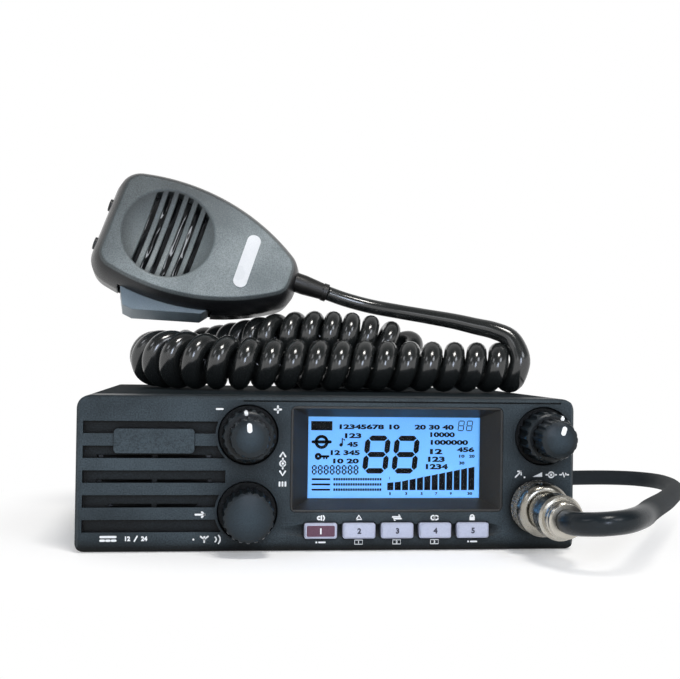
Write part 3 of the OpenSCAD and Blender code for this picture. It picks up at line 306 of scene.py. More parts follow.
def grid_faces(rows, columns, close_columns=False):
    """Quads of a grid of points that is stored row by row; the last column can join the first."""
    row, column = np.meshgrid(np.arange(rows - 1), np.arange(columns - (not close_columns)), indexing="ij")
    nearby = (column + 1) % columns
    corners = (row * columns + column, (row + 1) * columns + column,
               (row + 1) * columns + nearby, row * columns + nearby)
    return np.stack([c.ravel() for c in corners], axis=1)


def tube(name, line, radius, sides, material, first_side):
    """Round tube along a line: at each point a circle of the radius given there, with a flat cap at each end."""
    _, side, other = carried_frame(line, first_side)
    turn = np.linspace(0, 2 * math.pi, sides, endpoint=False)[None, :, None]
    rings = line[:, None] + radius[:, None, None] * (np.cos(turn) * side[:, None] + np.sin(turn) * other[:, None])
    count = len(line)
    faces = [f[::-1] for f in grid_faces(count, sides, close_columns=True)]
    faces.append(list(range(sides))[::-1])
    faces.append([(count - 1) * sides + k for k in range(sides)])
    return put_mesh(name, rings.reshape(-1, 3), faces, material)


def jacket(name, dark, pale, gloss, specular, dull_from=None):
    """Extruded glossy jacket: two close tones in a soft bloom, gloss that is wiped unevenly, a slight orange peel.
    Where dull_from gives two places in Y, the gloss falls off from the first to the second and stays off beyond."""
    dull_rough, drift = 0.80, 0.05
    finish = Finish(name)
    bloom = finish.noise(90.0, 5.0)
    rough = finish.ramp(bloom, 0.0, 1.0, gloss - drift, gloss + drift)
    if dull_from:
        rough = finish.ramp(finish.axis("Y"), *dull_from, rough, dull_rough, smooth=True)
    peel = finish.bump(finish.noise(420.0, 1.0), 0.00015, 0.12)
    return finish.surface({"Base Color": finish.mix(bloom, dark, pale), "Roughness": rough, "Normal": peel,
                           "Specular IOR Level": specular})


cord_jacket = jacket("cord_jacket", "191b1b", "262929", 0.17, 0.90)
lead_jacket = jacket("lead_jacket", "13181b", "1f262b", 0.24, 0.25, dull_from=(-0.112, -0.088))

curls, curl_wire_r = curl_turns(np.vstack([first_turn, curl_route]))
route = np.vstack([mic_lead_route, curls, plug_lead_route])
lead_thickens = [4, len(mic_lead_route) - 1]
mic_lead_r = np.interp(np.arange(len(mic_lead_route)), lead_thickens, [lead_d / 2, curl_wire_r[0]])
route_r = np.concatenate([mic_lead_r, curl_wire_r, np.full(len(plug_lead_route), cord_d / 2)])
cord_step = 1.1 * MM
cord_line = smooth_line(route, cord_step)
cord_run = np.concatenate([[0], np.cumsum(np.linalg.norm(np.diff(cord_line, axis=0), axis=1))])
nearest = [int(np.argmin(np.linalg.norm(cord_line - point, axis=1))) for point in route]
cord_r = np.interp(cord_run, np.maximum.accumulate(cord_run[nearest]), route_r)
cord_sides = 16
cord = tube("cord", cord_line, cord_r, cord_sides, cord_jacket, (0, 0, 1))
cord.data.materials.append(lead_jacket)
face_ring = np.arange(len(cord.data.polygons)) // cord_sides
cord.data.polygons.foreach_set("material_index", (face_ring > nearest[-len(plug_lead_route)]).astype(np.int32))
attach(cord, "radio")
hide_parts("mic_lead", "curly_cord", "plug_lead")


# Side rails and rear wall: the cast metal frame that everything is screwed to.
# Sand-cast look, blackened; only the rails between the covers and the rear wall can be seen.
def dress(material, *names, split_degrees=32):
    """Gives CAD nodes their finish, with smooth shading that breaks at edges sharper than the split angle."""
    for name in names:
        piece = nodes[name]
        for holder in piece.material_slots:
            holder.material = material
        if not piece.material_slots:
            piece.data.materials.append(material)
        piece.data.polygons.foreach_set("use_smooth", np.full(len(piece.data.polygons), True))
        weld = piece.modifiers.new("weld", "WELD")
        weld.merge_threshold = 1e-5
        crease = piece.modifiers.new("crease", "EDGE_SPLIT")
        crease.split_angle = math.radians(split_degrees)


def moulded(name, dark, pale, rough, grain_size, grain_depth, edge=0.00025, metallic=0.0, specular=0.5, painted_shade_reach=0.0,
            sunk=None):
    """Moulded or painted surface: two close tones in soft patches, roughness that drifts with them, a fine
    grain of a given size and depth in metres, and edges rounded off by a small radius. Where a reach of painted shade
    is given, corners and recesses within that reach are darkened by painted shade. Where sunk is given, the tone falls
    off between those two places in Y as painted shade, as the recesses look in the photo."""
    patch_size, drift = 0.02, 0.06
    shade_darkest, sunk_dark = 0.10, 0.45
    finish = Finish(name)
    patches = finish.noise(1 / patch_size, 4.0)
    grain = finish.noise(1 / grain_size, 3.0)
    tone = finish.mix(finish.ramp(finish.math("MULTIPLY", patches, grain), 0.12, 0.40), dark, pale)
    # Painted shade: ambient occlusion darkens corners and recesses within the reach.
    if painted_shade_reach:
        corner = finish.add("ShaderNodeAmbientOcclusion", "AO", {"Distance": painted_shade_reach}, samples=6)
        tone = finish.mix(1.0, tone, finish.ramp(corner, 0.50, 0.97, shade_darkest, 1.0), "MULTIPLY")
    # Painted shade: what lies sunk behind the face is darkened.
    if sunk:
        tone = finish.mix(1.0, tone, finish.ramp(finish.axis("Y"), *sunk, 1.0, sunk_dark), "MULTIPLY")
    return finish.surface({"Base Color": tone, "Metallic": metallic, "Specular IOR Level": specular,
                           "Roughness": finish.ramp(patches, 0.3, 0.7, rough - drift, rough + drift),
                           "Normal": finish.bump(grain, grain_depth, edge=edge)})


frame_cast = moulded("frame_cast", "16181a", "222528", 0.52, 0.0006, 0.00008, edge=0.0005, metallic=0.35)
dress(frame_cast, "side_rails", "rear_wall")


# Covers: two bent steel sheets, one over the top and one under the case, with baked black texture paint.
# Eight countersunk steel screws with cross recesses hold them to the frame.
cover_paint = moulded("cover_paint", "171d20", "252c30", 0.70, 0.0005, 0.00008, edge=0.0003, specular=0.02)
dress(cover_paint, "top_cover", "bottom_cover")
dress(moulded("screw_steel", "1a1b1c", "303234", 0.34, 0.0004, 0.00001, metallic=0.8), "cover_screws")


def cross_recess(places, across, depth_axis, lift, arm, width):
    """Two crossed dark bars at each place, raised a hair from the head, standing as painted shade for a cross
    recess: each bar is a 2 x 2 grid in the plane square to the depth axis, along the direction across and its
    perpendicular."""
    across = np.array(across, float)
    other = np.cross(depth_axis, across)
    corner = np.array([(-1, -1), (1, -1), (1, 1), (-1, 1)], float)
    bars = []
    for long_way, short_way in ((across, other), (other, -across)):
        bar = corner[:, :1] * arm * long_way + corner[:, 1:] * width * short_way
        bars.append(np.array(places)[:, None] + bar + lift * np.array(depth_axis))
    points = np.stack(bars, axis=1).reshape(-1, 3)
    return points, np.arange(len(points)).reshape(-1, 4)


# The cross recesses are not cut: flat black bars on the heads stand for them as painted shade.
painted_recess_shade = moulded("painted_recess_shade", "050505", "0b0b0b", 0.6, 0.0003, 0.00001)
screw_places = np.array([(-85, y, z) for y in (-31, 47) for z in (38, 13)]) * MM
slanting = (0, 0.7071, 0.7071)
for side_name, side in (("left", -1), ("right", 1)):
    points, faces = cross_recess(screw_places * (-side, 1, 1), slanting, (side, 0, 0), lift=0.03 * MM, arm=1.3 * MM,
                                 width=0.28 * MM)
    recess = put_mesh(f"cover_recess_{side_name}", points, faces, painted_recess_shade, smooth=False)
    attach(recess, "radio")


# Mounting inserts: turned steel bushes, tapped for the bracket's hand screws.
# They are pressed into the rails on both sides of the case.
def turned(name, dark, pale, rough, ring_scale):
    """Turned or drawn bright metal: fine wavy streaks in the tone and the roughness, and rounded edges."""
    finish = Finish(name)
    squeezed = finish.add("ShaderNodeMapping", "Vector", {"Vector": finish.place, "Scale": (1.0, ring_scale, 1.0)})
    streak = finish.noise(320.0, 2.0, squeezed)
    return finish.surface({"Base Color": finish.mix(finish.noise(160.0, 4.0), dark, pale), "Metallic": 1.0,
                           "Roughness": finish.ramp(streak, 0.3, 0.7, rough * 0.7, rough * 1.3),
                           "Normal": finish.bump(streak, 0.000008, 0.4, edge=0.0002)})


dress(turned("insert_steel", "7d8083", "a9acaf", 0.32, 6.0), "bracket_inserts")


# Boards: green fibreglass with copper tracks under the lacquer, screwed to the frame and to the microphone's shell.
# The larger parts soldered to the main board are black, and a block of them in the middle is tinned.
lacquer = Finish("board_lacquer")
track = lacquer.add("ShaderNodeTexBrick", "Color", {"Vector": lacquer.place, "Scale": 180.0, "Mortar Size": 0.03,
                                                    "Color1": "1c5a36", "Color2": "23683f", "Mortar": "2f7d4c"})
weave = lacquer.bump(lacquer.noise(900.0), 0.00003, 0.2)
board_lacquer = lacquer.surface({"Base Color": track, "Normal": weave, "Roughness": 0.35})
dress(board_lacquer, "main_board", "front_board", "mic_board")

components = Finish("component_mix")
tinned = components.math("MULTIPLY", components.math("COMPARE", components.axis("X"), 0.010, 0.034),
                         components.math("COMPARE", components.axis("Y"), 0.005, 0.016))
grain = components.noise(400.0)
tone = components.mix(tinned, components.mix(grain, "1b1d22", "2a2d34"), components.mix(grain, "a6a9ac", "c6c9cc"))
dress(components.surface({"Base Color": tone, "Metallic": tinned, "Roughness": 0.38}), "board_components")


# Rear fittings: black anodised heat sink, nickel aerial socket with a thread and an ivory insulator,
# power inlet with two brass blades, and two jack sockets for outside loudspeakers.
dress(moulded("sink_black", "0e0f10", "191b1d", 0.40, 0.0007, 0.00002, metallic=0.5), "heat_sink")
socket_nickel = turned("socket_nickel", "8f8f8b", "bdbcb6", 0.20, 5.0)
dress(socket_nickel, "antenna_socket")
dress(moulded("ivory_resin", "cfc8b2", "e2dcc9", 0.42, 0.0006, 0.00002), "antenna_insulator")
dress(moulded("jack_black", "101112", "1a1b1d", 0.42, 0.0005, 0.00002), "jack_sockets")

inlet = Finish("inlet_nylon")
inlet_x, inlet_z = 0.014, 0.015
blade_place, blade_half_thick, blade_half_high = 0.0066, 0.0006, 0.0022
from_middle = inlet.math("ABSOLUTE", inlet.math("SUBTRACT", inlet.axis("X"), inlet_x))
blade = inlet.math("MULTIPLY", inlet.math("COMPARE", from_middle, blade_place, blade_half_thick),
                   inlet.math("COMPARE", inlet.axis("Z"), inlet_z, blade_half_high))
grain = inlet.noise(1500.0)
tone = inlet.mix(blade, inlet.mix(grain, "0f1011", "1b1c1e"), inlet.mix(grain, "b08a3c", "cba552"))
dress(inlet.surface({"Base Color": tone, "Metallic": blade, "Roughness": 0.4}), "power_socket")


def thread_ridges(name, middle, radius, first_y, last_y, pitch, depth, material):
    """Ridge of a screw thread on a barrel along Y: a triangular wire, two faces wide, carried along a helix of the
    given pitch, its foot on the barrel and its crest one depth out."""
    per_turn = 40
    turns = (last_y - first_y) / pitch
    t = np.linspace(0, 1, int(turns * per_turn))
    angle = 2 * math.pi * turns * t
    y = first_y + (last_y - first_y) * t
    fade_ends = np.clip(np.minimum(t, 1 - t) * turns * 4, 0, 1)
    offset = np.array([(-0.45, -0.02), (0.0, 1.0), (0.45, -0.02)])
    r = radius + depth * fade_ends[:, None] * offset[None, :, 1]
    points = np.stack([middle[0] + r * np.cos(angle)[:, None], y[:, None] + pitch * offset[None, :, 0],
                       middle[1] + r * np.sin(angle)[:, None]], axis=2)
    return put_mesh(name, points.reshape(-1, 3), grid_faces(len(t), 3)[:, ::-1], material)


aerial_thread = thread_ridges("aerial_thread", (40 * MM, 31 * MM), 7.94 * MM, 67.4 * MM, 78.2 * MM, pitch=1.06 * MM,
                              depth=0.35 * MM, material=socket_nickel)
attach(aerial_thread, "radio")


# Front panel: one moulding in charcoal ABS with a fine spark-eroded grain, snapped over the frame's nose.
# The signs on it are white pad print; the raised plate and the name's place above the louvres stay bare.
# The panel's corners and recesses, and all that lies sunk behind its face, are darkened as painted shade.
panel_plastic = moulded("panel_plastic", "242c31", "3f4a51", 0.42, 0.0005, 0.00014, edge=0.0004, specular=0.16,
                        painted_shade_reach=0.006, sunk=(-0.0647, -0.0636))
dress(panel_plastic, "front_panel")

face_y = -65.0
print_white = moulded("print_white", "dfe3e6", "f3f5f6", 0.5, 0.0004, 0.000005)


def stroke(line, width):
    """Printed stroke: a ribbon carried along a line of (x, z) points in mm. Its half width is 1 / 1.3 of the
    nominal width, which gives the weight that the photo's print has, and at each end it closes as a half circle."""
    line = np.array(line, float)
    along = np.gradient(line, axis=0)
    along /= np.linalg.norm(along, axis=1)[:, None]
    cap_rows = 5
    turn = np.linspace(0, math.pi / 2, cap_rows)[:, None]
    half = width / 1.3
    first_cap = line[0] - along[0] * half * np.cos(turn)
    last_cap = line[-1] + along[-1] * half * np.cos(turn[::-1])
    middle = np.vstack([first_cap, line, last_cap])
    heading = np.vstack([np.repeat(along[:1], cap_rows, axis=0), along, np.repeat(along[-1:], cap_rows, axis=0)])
    reach = np.vstack([half * np.sin(turn), np.full((len(line), 1), half), half * np.sin(turn[::-1])])
    across = np.stack([-heading[:, 1], heading[:, 0]], axis=1) * reach
    return np.stack([middle + across, middle - across], axis=1).reshape(-1, 2), grid_faces(len(middle), 2).tolist()


def arc(x, z, radius, first=0.0, last=360.0):
    """Points of a circular arc from one angle to another, in degrees from the X direction."""
    step = 15
    turn = np.radians(np.linspace(first, last, max(6, int(abs(last - first) / step) + 1)))
    return np.stack([x + radius * np.cos(turn), z + radius * np.sin(turn)], axis=1)


def patch(*corners):
    """One flat printed patch with the given (x, z) corners."""
    return np.array(corners, float), [list(range(len(corners)))]


def dot(x, z, radius):
    """Filled round dot."""
    return patch(*arc(x, z, radius)[:-1])


def rounded_patch(x, z, wide, high, radius):
    """Rounded rectangle: a quarter circle at each corner."""
    turn = np.radians(np.arange(0, 91, 15))
    quarter = [np.stack([x + sx * (wide / 2 - radius) + radius * np.cos(turn + a),
                         z + sz * (high / 2 - radius) + radius * np.sin(turn + a)], axis=1)
               for sx, sz, a in ((1, 1, 0), (-1, 1, math.pi / 2), (-1, -1, math.pi), (1, -1, 1.5 * math.pi))]
    return patch(*np.vstack(quarter))


def numerals(text, x, z, high, wide=None):
    """Plain numerals, filled, centred on (x, z) and scaled to a height and if given a width, in mm."""
    letters = bpy.data.curves.new("numerals", "FONT")
    letters.body = text
    letters.resolution_u = 3
    letters.offset = 0.05
    holder = bpy.data.objects.new("numerals", letters)
    scene.collection.objects.link(holder)
    bpy.context.view_layer.update()
    mesh = bpy.data.meshes.new_from_object(holder)
    points = np.zeros(len(mesh.vertices) * 3)
    mesh.vertices.foreach_get("co", points)
    points = points.reshape(-1, 3)[:, :2]
    faces = [list(p.vertices) for p in mesh.polygons]
    bpy.data.objects.remove(holder)
    bpy.data.curves.remove(letters)
    bpy.data.meshes.remove(mesh)
    low, top = points.min(axis=0), points.max(axis=0)
    scale = np.full(2, high / (top[1] - low[1]))
    if wide:
        scale[0] = wide / (top[0] - low[0])
    return (points - (low + top) / 2) * scale + (x, z), faces


def printed(name, parts, y, material, body):
    """Joins flat parts in the (x, z) plane into one print that faces the front at a depth y in mm. Faces that run
    clockwise are turned round, so that all look outwards."""
    points, faces, start = [], [], 0
    for part_points, part_faces in parts:
        for face in part_faces:
            ring = part_points[face]
            area = np.sum(ring[:, 0] * np.roll(ring[:, 1], -1) - ring[:, 1] * np.roll(ring[:, 0], -1))
            faces.append([start + k for k in (face if area > 0 else face[::-1])])
        points.append(np.stack([part_points[:, 0], np.full(len(part_points), y), part_points[:, 1]], axis=1))
        start += len(part_points)
    piece = put_mesh(name, np.vstack(points) * MM, faces, material, smooth=False)
    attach(piece, body)
    return piece


def knob_sign(x, z, upright):
    """Sign of two knobs on one axis: a ring, a dot in it and a tick on either side."""
    tick = np.array((0.0, 1.0) if upright else (1.0, 0.0))
    ends = [np.array((x, z)) + s * tick * d for s in (-1, 1) for d in (1.0, 1.75)]
    return [stroke(arc(x, z, 0.95), 0.3), dot(x, z, 0.42),
            stroke(ends[:2], 0.36), stroke(ends[2:], 0.36)]


signs = [
    stroke([(-38.9, 47.7), (-36.9, 47.7)], 0.42),
    stroke([(-19.5, 47.7), (-17.3, 47.7)], 0.42), stroke([(-18.4, 46.6), (-18.4, 48.8)], 0.42),
    stroke([(-17.4, 31.9), (-16.5, 33.3), (-15.6, 31.9)], 0.4),
    *knob_sign(-16.5, 29.5, True),
    stroke([(-17.4, 26.9), (-16.5, 25.5), (-15.6, 26.9)], 0.4),
    *(stroke([(x, 22.0), (x, 23.2)], 0.4) for x in (-17.5, -16.5, -15.5)),
    stroke([(-45.4, 12.4), (-42.4, 12.4)], 0.42), stroke([(-43.3, 13.2), (-42.4, 12.4), (-43.3, 11.6)], 0.42),
    stroke([(-76.4, 5.1), (-71.6, 5.1)], 0.5),
    *(stroke([(x, 3.9), (end, 3.9)], 0.5) for x, end in ((-76.4, -75.3), (-74.5, -73.5), (-72.7, -71.6))),
    numerals("12", -67.6, 4.5, 1.6), stroke([(-65.4, 3.7), (-64.5, 5.3)], 0.32), numerals("24", -62.2, 4.5, 1.6),
    dot(-46.0, 4.1, 0.34), stroke([(-42.4, 3.2), (-42.4, 5.0)], 0.36),
    stroke([(-43.6, 5.1), (-42.4, 4.1), (-41.2, 5.1)], 0.36), stroke(arc(-39.4, 4.1, 1.0, -50, 50), 0.32),
    stroke(arc(-39.0, 4.1, 1.9, -45, 45), 0.32),
    patch((70.2, 25.1), (73.6, 25.1), (73.6, 26.7)),
    *knob_sign(76.8, 25.8, False),
    stroke([(79.9, 25.8), (80.5, 25.8), (80.9, 26.6), (81.5, 25.0), (82.0, 26.4), (82.4, 25.8), (83.0, 25.8)], 0.3),
    stroke([(64.1, 25.0), (66.1, 27.0)], 0.34), stroke([(64.9, 27.0), (66.1, 27.0), (66.1, 25.8)], 0.34),
    dot(67.3, 24.9, 0.34),
]
key_count = 5
key_x = -3.45 + 13.1 * np.arange(key_count)
speaker_x, triangle_x, arrows_x, rings_x, lock_x = key_x
signs += [
    stroke(arc(speaker_x - 0.5, 11.1, 0.5, 60, 300), 0.34),
    stroke([(speaker_x + 0.3, 10.4), (speaker_x + 0.3, 11.8)], 0.34),
    stroke(arc(speaker_x + 0.3, 11.1, 1.0, -50, 50), 0.3),
    stroke([(triangle_x - 0.9, 10.6), (triangle_x, 12.0), (triangle_x + 0.9, 10.6), (triangle_x - 0.9, 10.6)], 0.32),
    stroke([(arrows_x - 1.5, 11.4), (arrows_x + 1.3, 11.4), (arrows_x + 0.7, 12.0)], 0.32),
    stroke([(arrows_x + 1.5, 10.8), (arrows_x - 1.3, 10.8), (arrows_x - 0.7, 10.2)], 0.32),
    stroke(arc(rings_x - 0.55, 11.1, 0.7), 0.3), stroke(arc(rings_x + 0.55, 11.1, 0.7), 0.3),
    rounded_patch(lock_x, 10.8, 1.9, 1.3, 0.2), stroke(arc(lock_x, 11.4, 0.6, 0, 180), 0.3),
]
for at_x in (speaker_x, lock_x):
    signs += [dot(at_x - 1.3, 2.9, 0.34), stroke([(at_x - 0.4, 2.9), (at_x + 1.6, 2.9)], 0.36)]
box_corners = np.array([(-1.35, 2.2), (1.35, 2.2), (1.35, 3.6), (-1.35, 3.6), (-1.35, 2.2)])
for number, at_x in enumerate((triangle_x, arrows_x, rings_x), 1):
    signs += [stroke(box_corners + (at_x, 0), 0.16), numerals(str(number), at_x, 2.9, 0.95)]
printed("panel_print", signs, face_y - 0.03, print_white, "radio")


# Display: a satin black funnel, a clear acrylic lens, and a lit blue liquid-crystal glass on its light guide.
# The dark segments are etched in the glass: a large and a small number, bars, gauges and rows of numerals.
dress(moulded("bezel_satin", "1b1b1b", "272726", 0.42, 0.0004, 0.00002, edge=0.0004), "display_bezel")

lens_ior = 1.08
lens = Finish("lens_acrylic")
haze = lens.ramp(lens.noise(700.0, 6.0), 0.4, 0.8, 0.0, 0.012)
dress(lens.surface({"Base Color": WHITE, "Roughness": haze, "Transmission Weight": 1.0, "IOR": lens_ior}),
      "display_lens")

lcd = Finish("lcd_blue")
glass_low, glass_top = 0.017, 0.045
drift = lcd.math("MULTIPLY_ADD", lcd.noise(45.0, 3.0), 0.25, lcd.ramp(lcd.axis("Z"), glass_low, glass_top))
glow = lcd.mix(drift, "69aaec", "5b9fe2")
dress(lcd.surface({"Emission Color": glow, "Base Color": glow, "Emission Strength": 0.62, "Roughness": 0.3}),
      "lcd_glass")

dress(moulded("guide_white", "d9dfe4", "eef2f5", 0.35, 0.0005, 0.00001), "lcd_backlight")


def seven_segments(x, z, wide, high, bar, slant):
    """Figure eight of seven six-sided segments in a box at (x, z), leaning by slant: x grows with height."""
    gap = 0.14 * bar
    tip = bar / 2

    def lying(first, last, at):
        return np.array([(first, at), (first + tip, at + tip), (last - tip, at + tip), (last, at),
                         (last - tip, at - tip), (first + tip, at - tip)])

    low, middle, top = tip, high / 2, high - tip
    level_bars = [lying(tip + gap, wide - tip - gap, at) for at in (low, middle, top)]
    upright_bars = [lying(first + gap, last - gap, at)[:, ::-1] for at in (tip, wide - tip)
                    for first, last in ((low, middle), (middle, top))]
    bars = np.array(level_bars + upright_bars)
    bars[:, :, 0] += slant * bars[:, :, 1]
    points = bars.reshape(-1, 2) + (x, z)
    return points, np.arange(len(points)).reshape(-1, 6).tolist()


marks = [seven_segments(x, 25.3, 8.9, 13.2, 1.85, 0.10) for x in (11.55, 21.85)]
marks += [seven_segments(x, 40.2, 2.2, 3.7, 0.32, 0.12) for x in (45.3, 48.3)]
marks.append(patch((-6.3, 40.2), (1.1, 40.2), (1.1, 43.4), (-6.3, 43.4)))
for text, x, z, wide, high in (
        ("12345678", 11.4, 41.5, 15.6, 1.75), ("10", 22.9, 41.5, 3.7, 1.75), ("20 30 40", 37.0, 41.5, 14.0, 1.75),
        ("123", 8.4, 38.4, 5.8, 1.75), ("45", 8.2, 35.4, 3.8, 1.75), ("12 345", 5.7, 32.5, 10.2, 1.75),
        ("10 20", 6.0, 29.6, 9.0, 1.75), ("10000", 40.0, 38.9, 8.8, 1.75), ("1000000", 42.5, 36.2, 13.4, 1.75),
        ("12", 37.8, 33.0, 4.4, 1.9), ("123", 37.9, 30.3, 6.0, 1.9), ("1234", 38.1, 27.7, 7.9, 1.9),
        ("456", 48.3, 33.7, 6.3, 1.75),
        ("1", 21.6, 18.3, 0.5, 1.0), ("3", 27.3, 18.3, 0.8, 1.0), ("5", 32.8, 18.3, 0.8, 1.0),
        ("7", 38.0, 18.3, 0.8, 1.0), ("9", 43.2, 18.3, 0.8, 1.0), ("30", 50.0, 18.3, 1.8, 1.0),
        ("10", 47.0, 31.4, 2.0, 1.1), ("20", 50.6, 31.4, 2.0, 1.1), ("30", 47.0, 29.0, 2.0, 1.1)):
    marks.append(numerals(text, x, z, high, wide))
marks += [stroke(arc(-2.6, 36.2, 1.9), 0.7), stroke([(-5.6, 36.2), (0.4, 36.2)], 0.7),
          dot(4.2, 35.2, 0.6), stroke([(4.6, 35.2), (4.6, 37.6), (5.4, 36.9)], 0.3),
          stroke(arc(-3.7, 31.2, 0.75), 0.6), stroke([(-2.9, 31.2), (-0.2, 31.2)], 0.5),
          stroke([(-0.8, 31.2), (-0.8, 30.5)], 0.4), stroke([(-1.7, 31.2), (-1.7, 30.5)], 0.4)]
marks += [seven_segments(-5.9 + 2.08 * i, 24.9, 1.75, 3.3, 0.52, 0.0) for i in range(8)]
dash_wide, dash_half = 0.66, 0.42
for row_z in (23.3, 21.5, 19.7):
    low, top = row_z - dash_half, row_z + dash_half
    marks += [patch((x, low), (x + dash_wide, low), (x + dash_wide, top), (x, top)) for x in 1.7 + 0.85 * np.arange(20)]
    marks.append(stroke([(-5.6, row_z), (0.3, row_z)], 0.42))
bar_wide, bar_foot = 2.15, 19.5
bar_x = 20.6 + 2.62 * np.arange(12)
bar_top = np.interp(np.append(bar_x, bar_x[-1] + 2.2), [20.6, 24.5, 51.6], [22.1, 22.3, 27.7])
marks += [patch((x, bar_foot), (x + bar_wide, bar_foot), (x + bar_wide, bar_top[i + 1]), (x, bar_top[i]))
          for i, x in enumerate(bar_x)]
marks.append(numerals("1", 21.4, 23.7, 0.9))

segment_black = moulded("segment_black", "0a0c10", "10131a", 0.35, 0.0004, 0.000003, specular=0.1)
printed("display_marks", marks, face_y + 8.22, segment_black, "radio")


# Keys: five caps moulded in pale lavender resin, each guided by its flange behind the panel.
# The first carries a maroon plate; all carry a plain printed number.
key_resin = moulded("key_resin", "a8aec4", "babfd3", 0.38, 0.0004, 0.00001, edge=0.0005)
resin_inputs = key_resin.node_tree.nodes["Principled BSDF"].inputs
resin_inputs["Subsurface Weight"].default_value = 0.08
resin_inputs["Subsurface Radius"].default_value = (0.0006, 0.0006, 0.0008)
dress(key_resin, *(f"key_{key + 1}" for key in range(key_count)))

key_front = face_y - 1.6
key_z = 6.9
number_high = 2.0
maroon_plate = moulded("maroon_plate", "4c2a3e", "5e3a4f", 0.36, 0.0005, 0.00001)
printed("key_inset", [rounded_patch(key_x[0], key_z, 9.5, 3.7, 0.5)], key_front - 0.02, maroon_plate, "key_1")

key_ink = moulded("key_ink", "24263a", "33364c", 0.5, 0.0005, 0.000005)
printed("key_sign_1", [numerals("1", key_x[0], key_z, number_high)], key_front - 0.04, print_white, "key_1")
for key in range(1, key_count):
    printed(f"key_sign_{key + 1}", [numerals(str(key + 1), key_x[key], key_z, number_high)], key_front - 0.03, key_ink,
            f"key_{key + 1}")


# Knobs: fluted drums in satin black resin. Two pairs of them turn on hollow and solid steel shafts; the lower left one
# turns without end and pushes in. The paired knobs carry a white filled index.
# The knobs' flutes and corners are darkened with painted shade.
knob_black = moulded("knob_black", "0f161a", "1c252b", 0.32, 0.0004, 0.00004, edge=0.0004, specular=0.3, painted_shade_reach=0.003)
dress(knob_black, "clarifier_coarse_knob", "clarifier_fine_knob", "channel_knob", "squelch_knob", "volume_knob")
shaft_steel = turned("shaft_steel", "8d9094", "b9bcc0", 0.24, 4.0)
dress(shaft_steel, "clarifier_coarse_shaft", "clarifier_fine_shaft", "channel_shaft", "channel_plunger",
      "squelch_shaft", "volume_shaft")
control_metal = turned("control_metal", "6d7074", "8f9296", 0.36, 2.0)
dress(control_metal, "clarifier_pot", "channel_encoder", "volume_pot")

clarifier_axis = (-28.2, 39.1)
volume_axis = (74.0, 39.1)
channel_axis = (-28.2, 13.3)


def ball_front(r, edge_r, front_y):
    """Domed front of a knob at a distance r from its axis: a slice of a ball, 0.9 mm high at the edge's radius."""
    high = 0.9
    ball = (edge_r ** 2 + high ** 2) / (2 * high)
    return front_y + ball - np.sqrt(ball ** 2 - r ** 2)


def dome_front(r):
    """Where an index lies on an inner knob, a hair ahead of its cap."""
    return ball_front(r, 5.5, -84.05)


def ring_front(r):
    """Front of a ring knob: flat, then sloping back over its chamfer."""
    return np.interp(r, [0, 7.55, 8.35, 8.75], [-73.64, -73.64, -73.04, -72.04])


def index_on(name, middle, clock, first_r, last_r, half, front_of, body):
    """White index on a knob's front: a ribbon with round ends along the radius, at an angle clockwise from the top.
    Each point is laid on the knob's front, whose height is a function of the distance from the axis."""
    rows, columns = 13, 5
    radius = np.linspace(first_r, last_r, rows)
    reach = np.minimum(radius - first_r, last_r - radius)
    wide = np.sqrt(np.clip(half ** 2 - np.clip(half - reach, 0, None) ** 2, 0, None))
    side = np.linspace(-1, 1, columns)
    a = math.radians(clock)
    along, across = np.array((math.sin(a), math.cos(a))), np.array((math.cos(a), -math.sin(a)))
    flat = radius[:, None, None] * along + (wide[:, None] * side)[:, :, None] * across
    from_axis = np.linalg.norm(flat, axis=2)
    points = np.stack([middle[0] + flat[:, :, 0], front_of(from_axis), middle[1] + flat[:, :, 1]], axis=2)
    piece = put_mesh(name, points.reshape(-1, 3) * MM, grid_faces(rows, columns), print_white)
    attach(piece, body)


satin = Finish("knob_satin")
# Painted shade: the caps darken towards their rims.
rim_start, rim_shade = 0.25, 0.45
rim = satin.add("ShaderNodeAttribute", "Fac", attribute_name="rim")
grain = satin.noise(2500.0, 3.0)
tone = satin.mix(1.0, satin.mix(grain, "222c33", "36434c"), satin.ramp(rim, rim_start, 1.0, 1.0, rim_shade), "MULTIPLY")
knob_satin = satin.surface({"Base Color": tone, "Normal": satin.bump(grain, 0.00004), "Roughness": 0.34,
                            "Specular IOR Level": 0.22})


def knob_cap(name, middle, edge_r, front_y, body):
    """Smooth domed front of a knob: a slice of a ball as rings round the axis. Each point carries its distance from
    the axis as a share of the edge's, which the finish uses to darken the rim with painted shade, as the photo shows
    it."""
    rings, columns = 14, 64
    share = np.linspace(0.03, 1, rings)[:, None]
    r = edge_r * share
    turn = np.linspace(0, 2 * math.pi, columns, endpoint=False)[None, :]
    ahead = np.broadcast_to(ball_front(r, edge_r, front_y), (rings, columns))
    points = np.stack([middle[0] + r * np.sin(turn), ahead, middle[1] + r * np.cos(turn)], axis=2)
    faces = grid_faces(rings, columns, close_columns=True)[:, ::-1].tolist() + [list(range(columns))[::-1]]
    cap = put_mesh(name, points.reshape(-1, 3) * MM, faces, knob_satin)
    rim_share = cap.data.attributes.new("rim", "FLOAT", "POINT")
    rim_share.data.foreach_set("value", np.repeat(share[:, 0], columns).astype(np.float32))
    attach(cap, body)


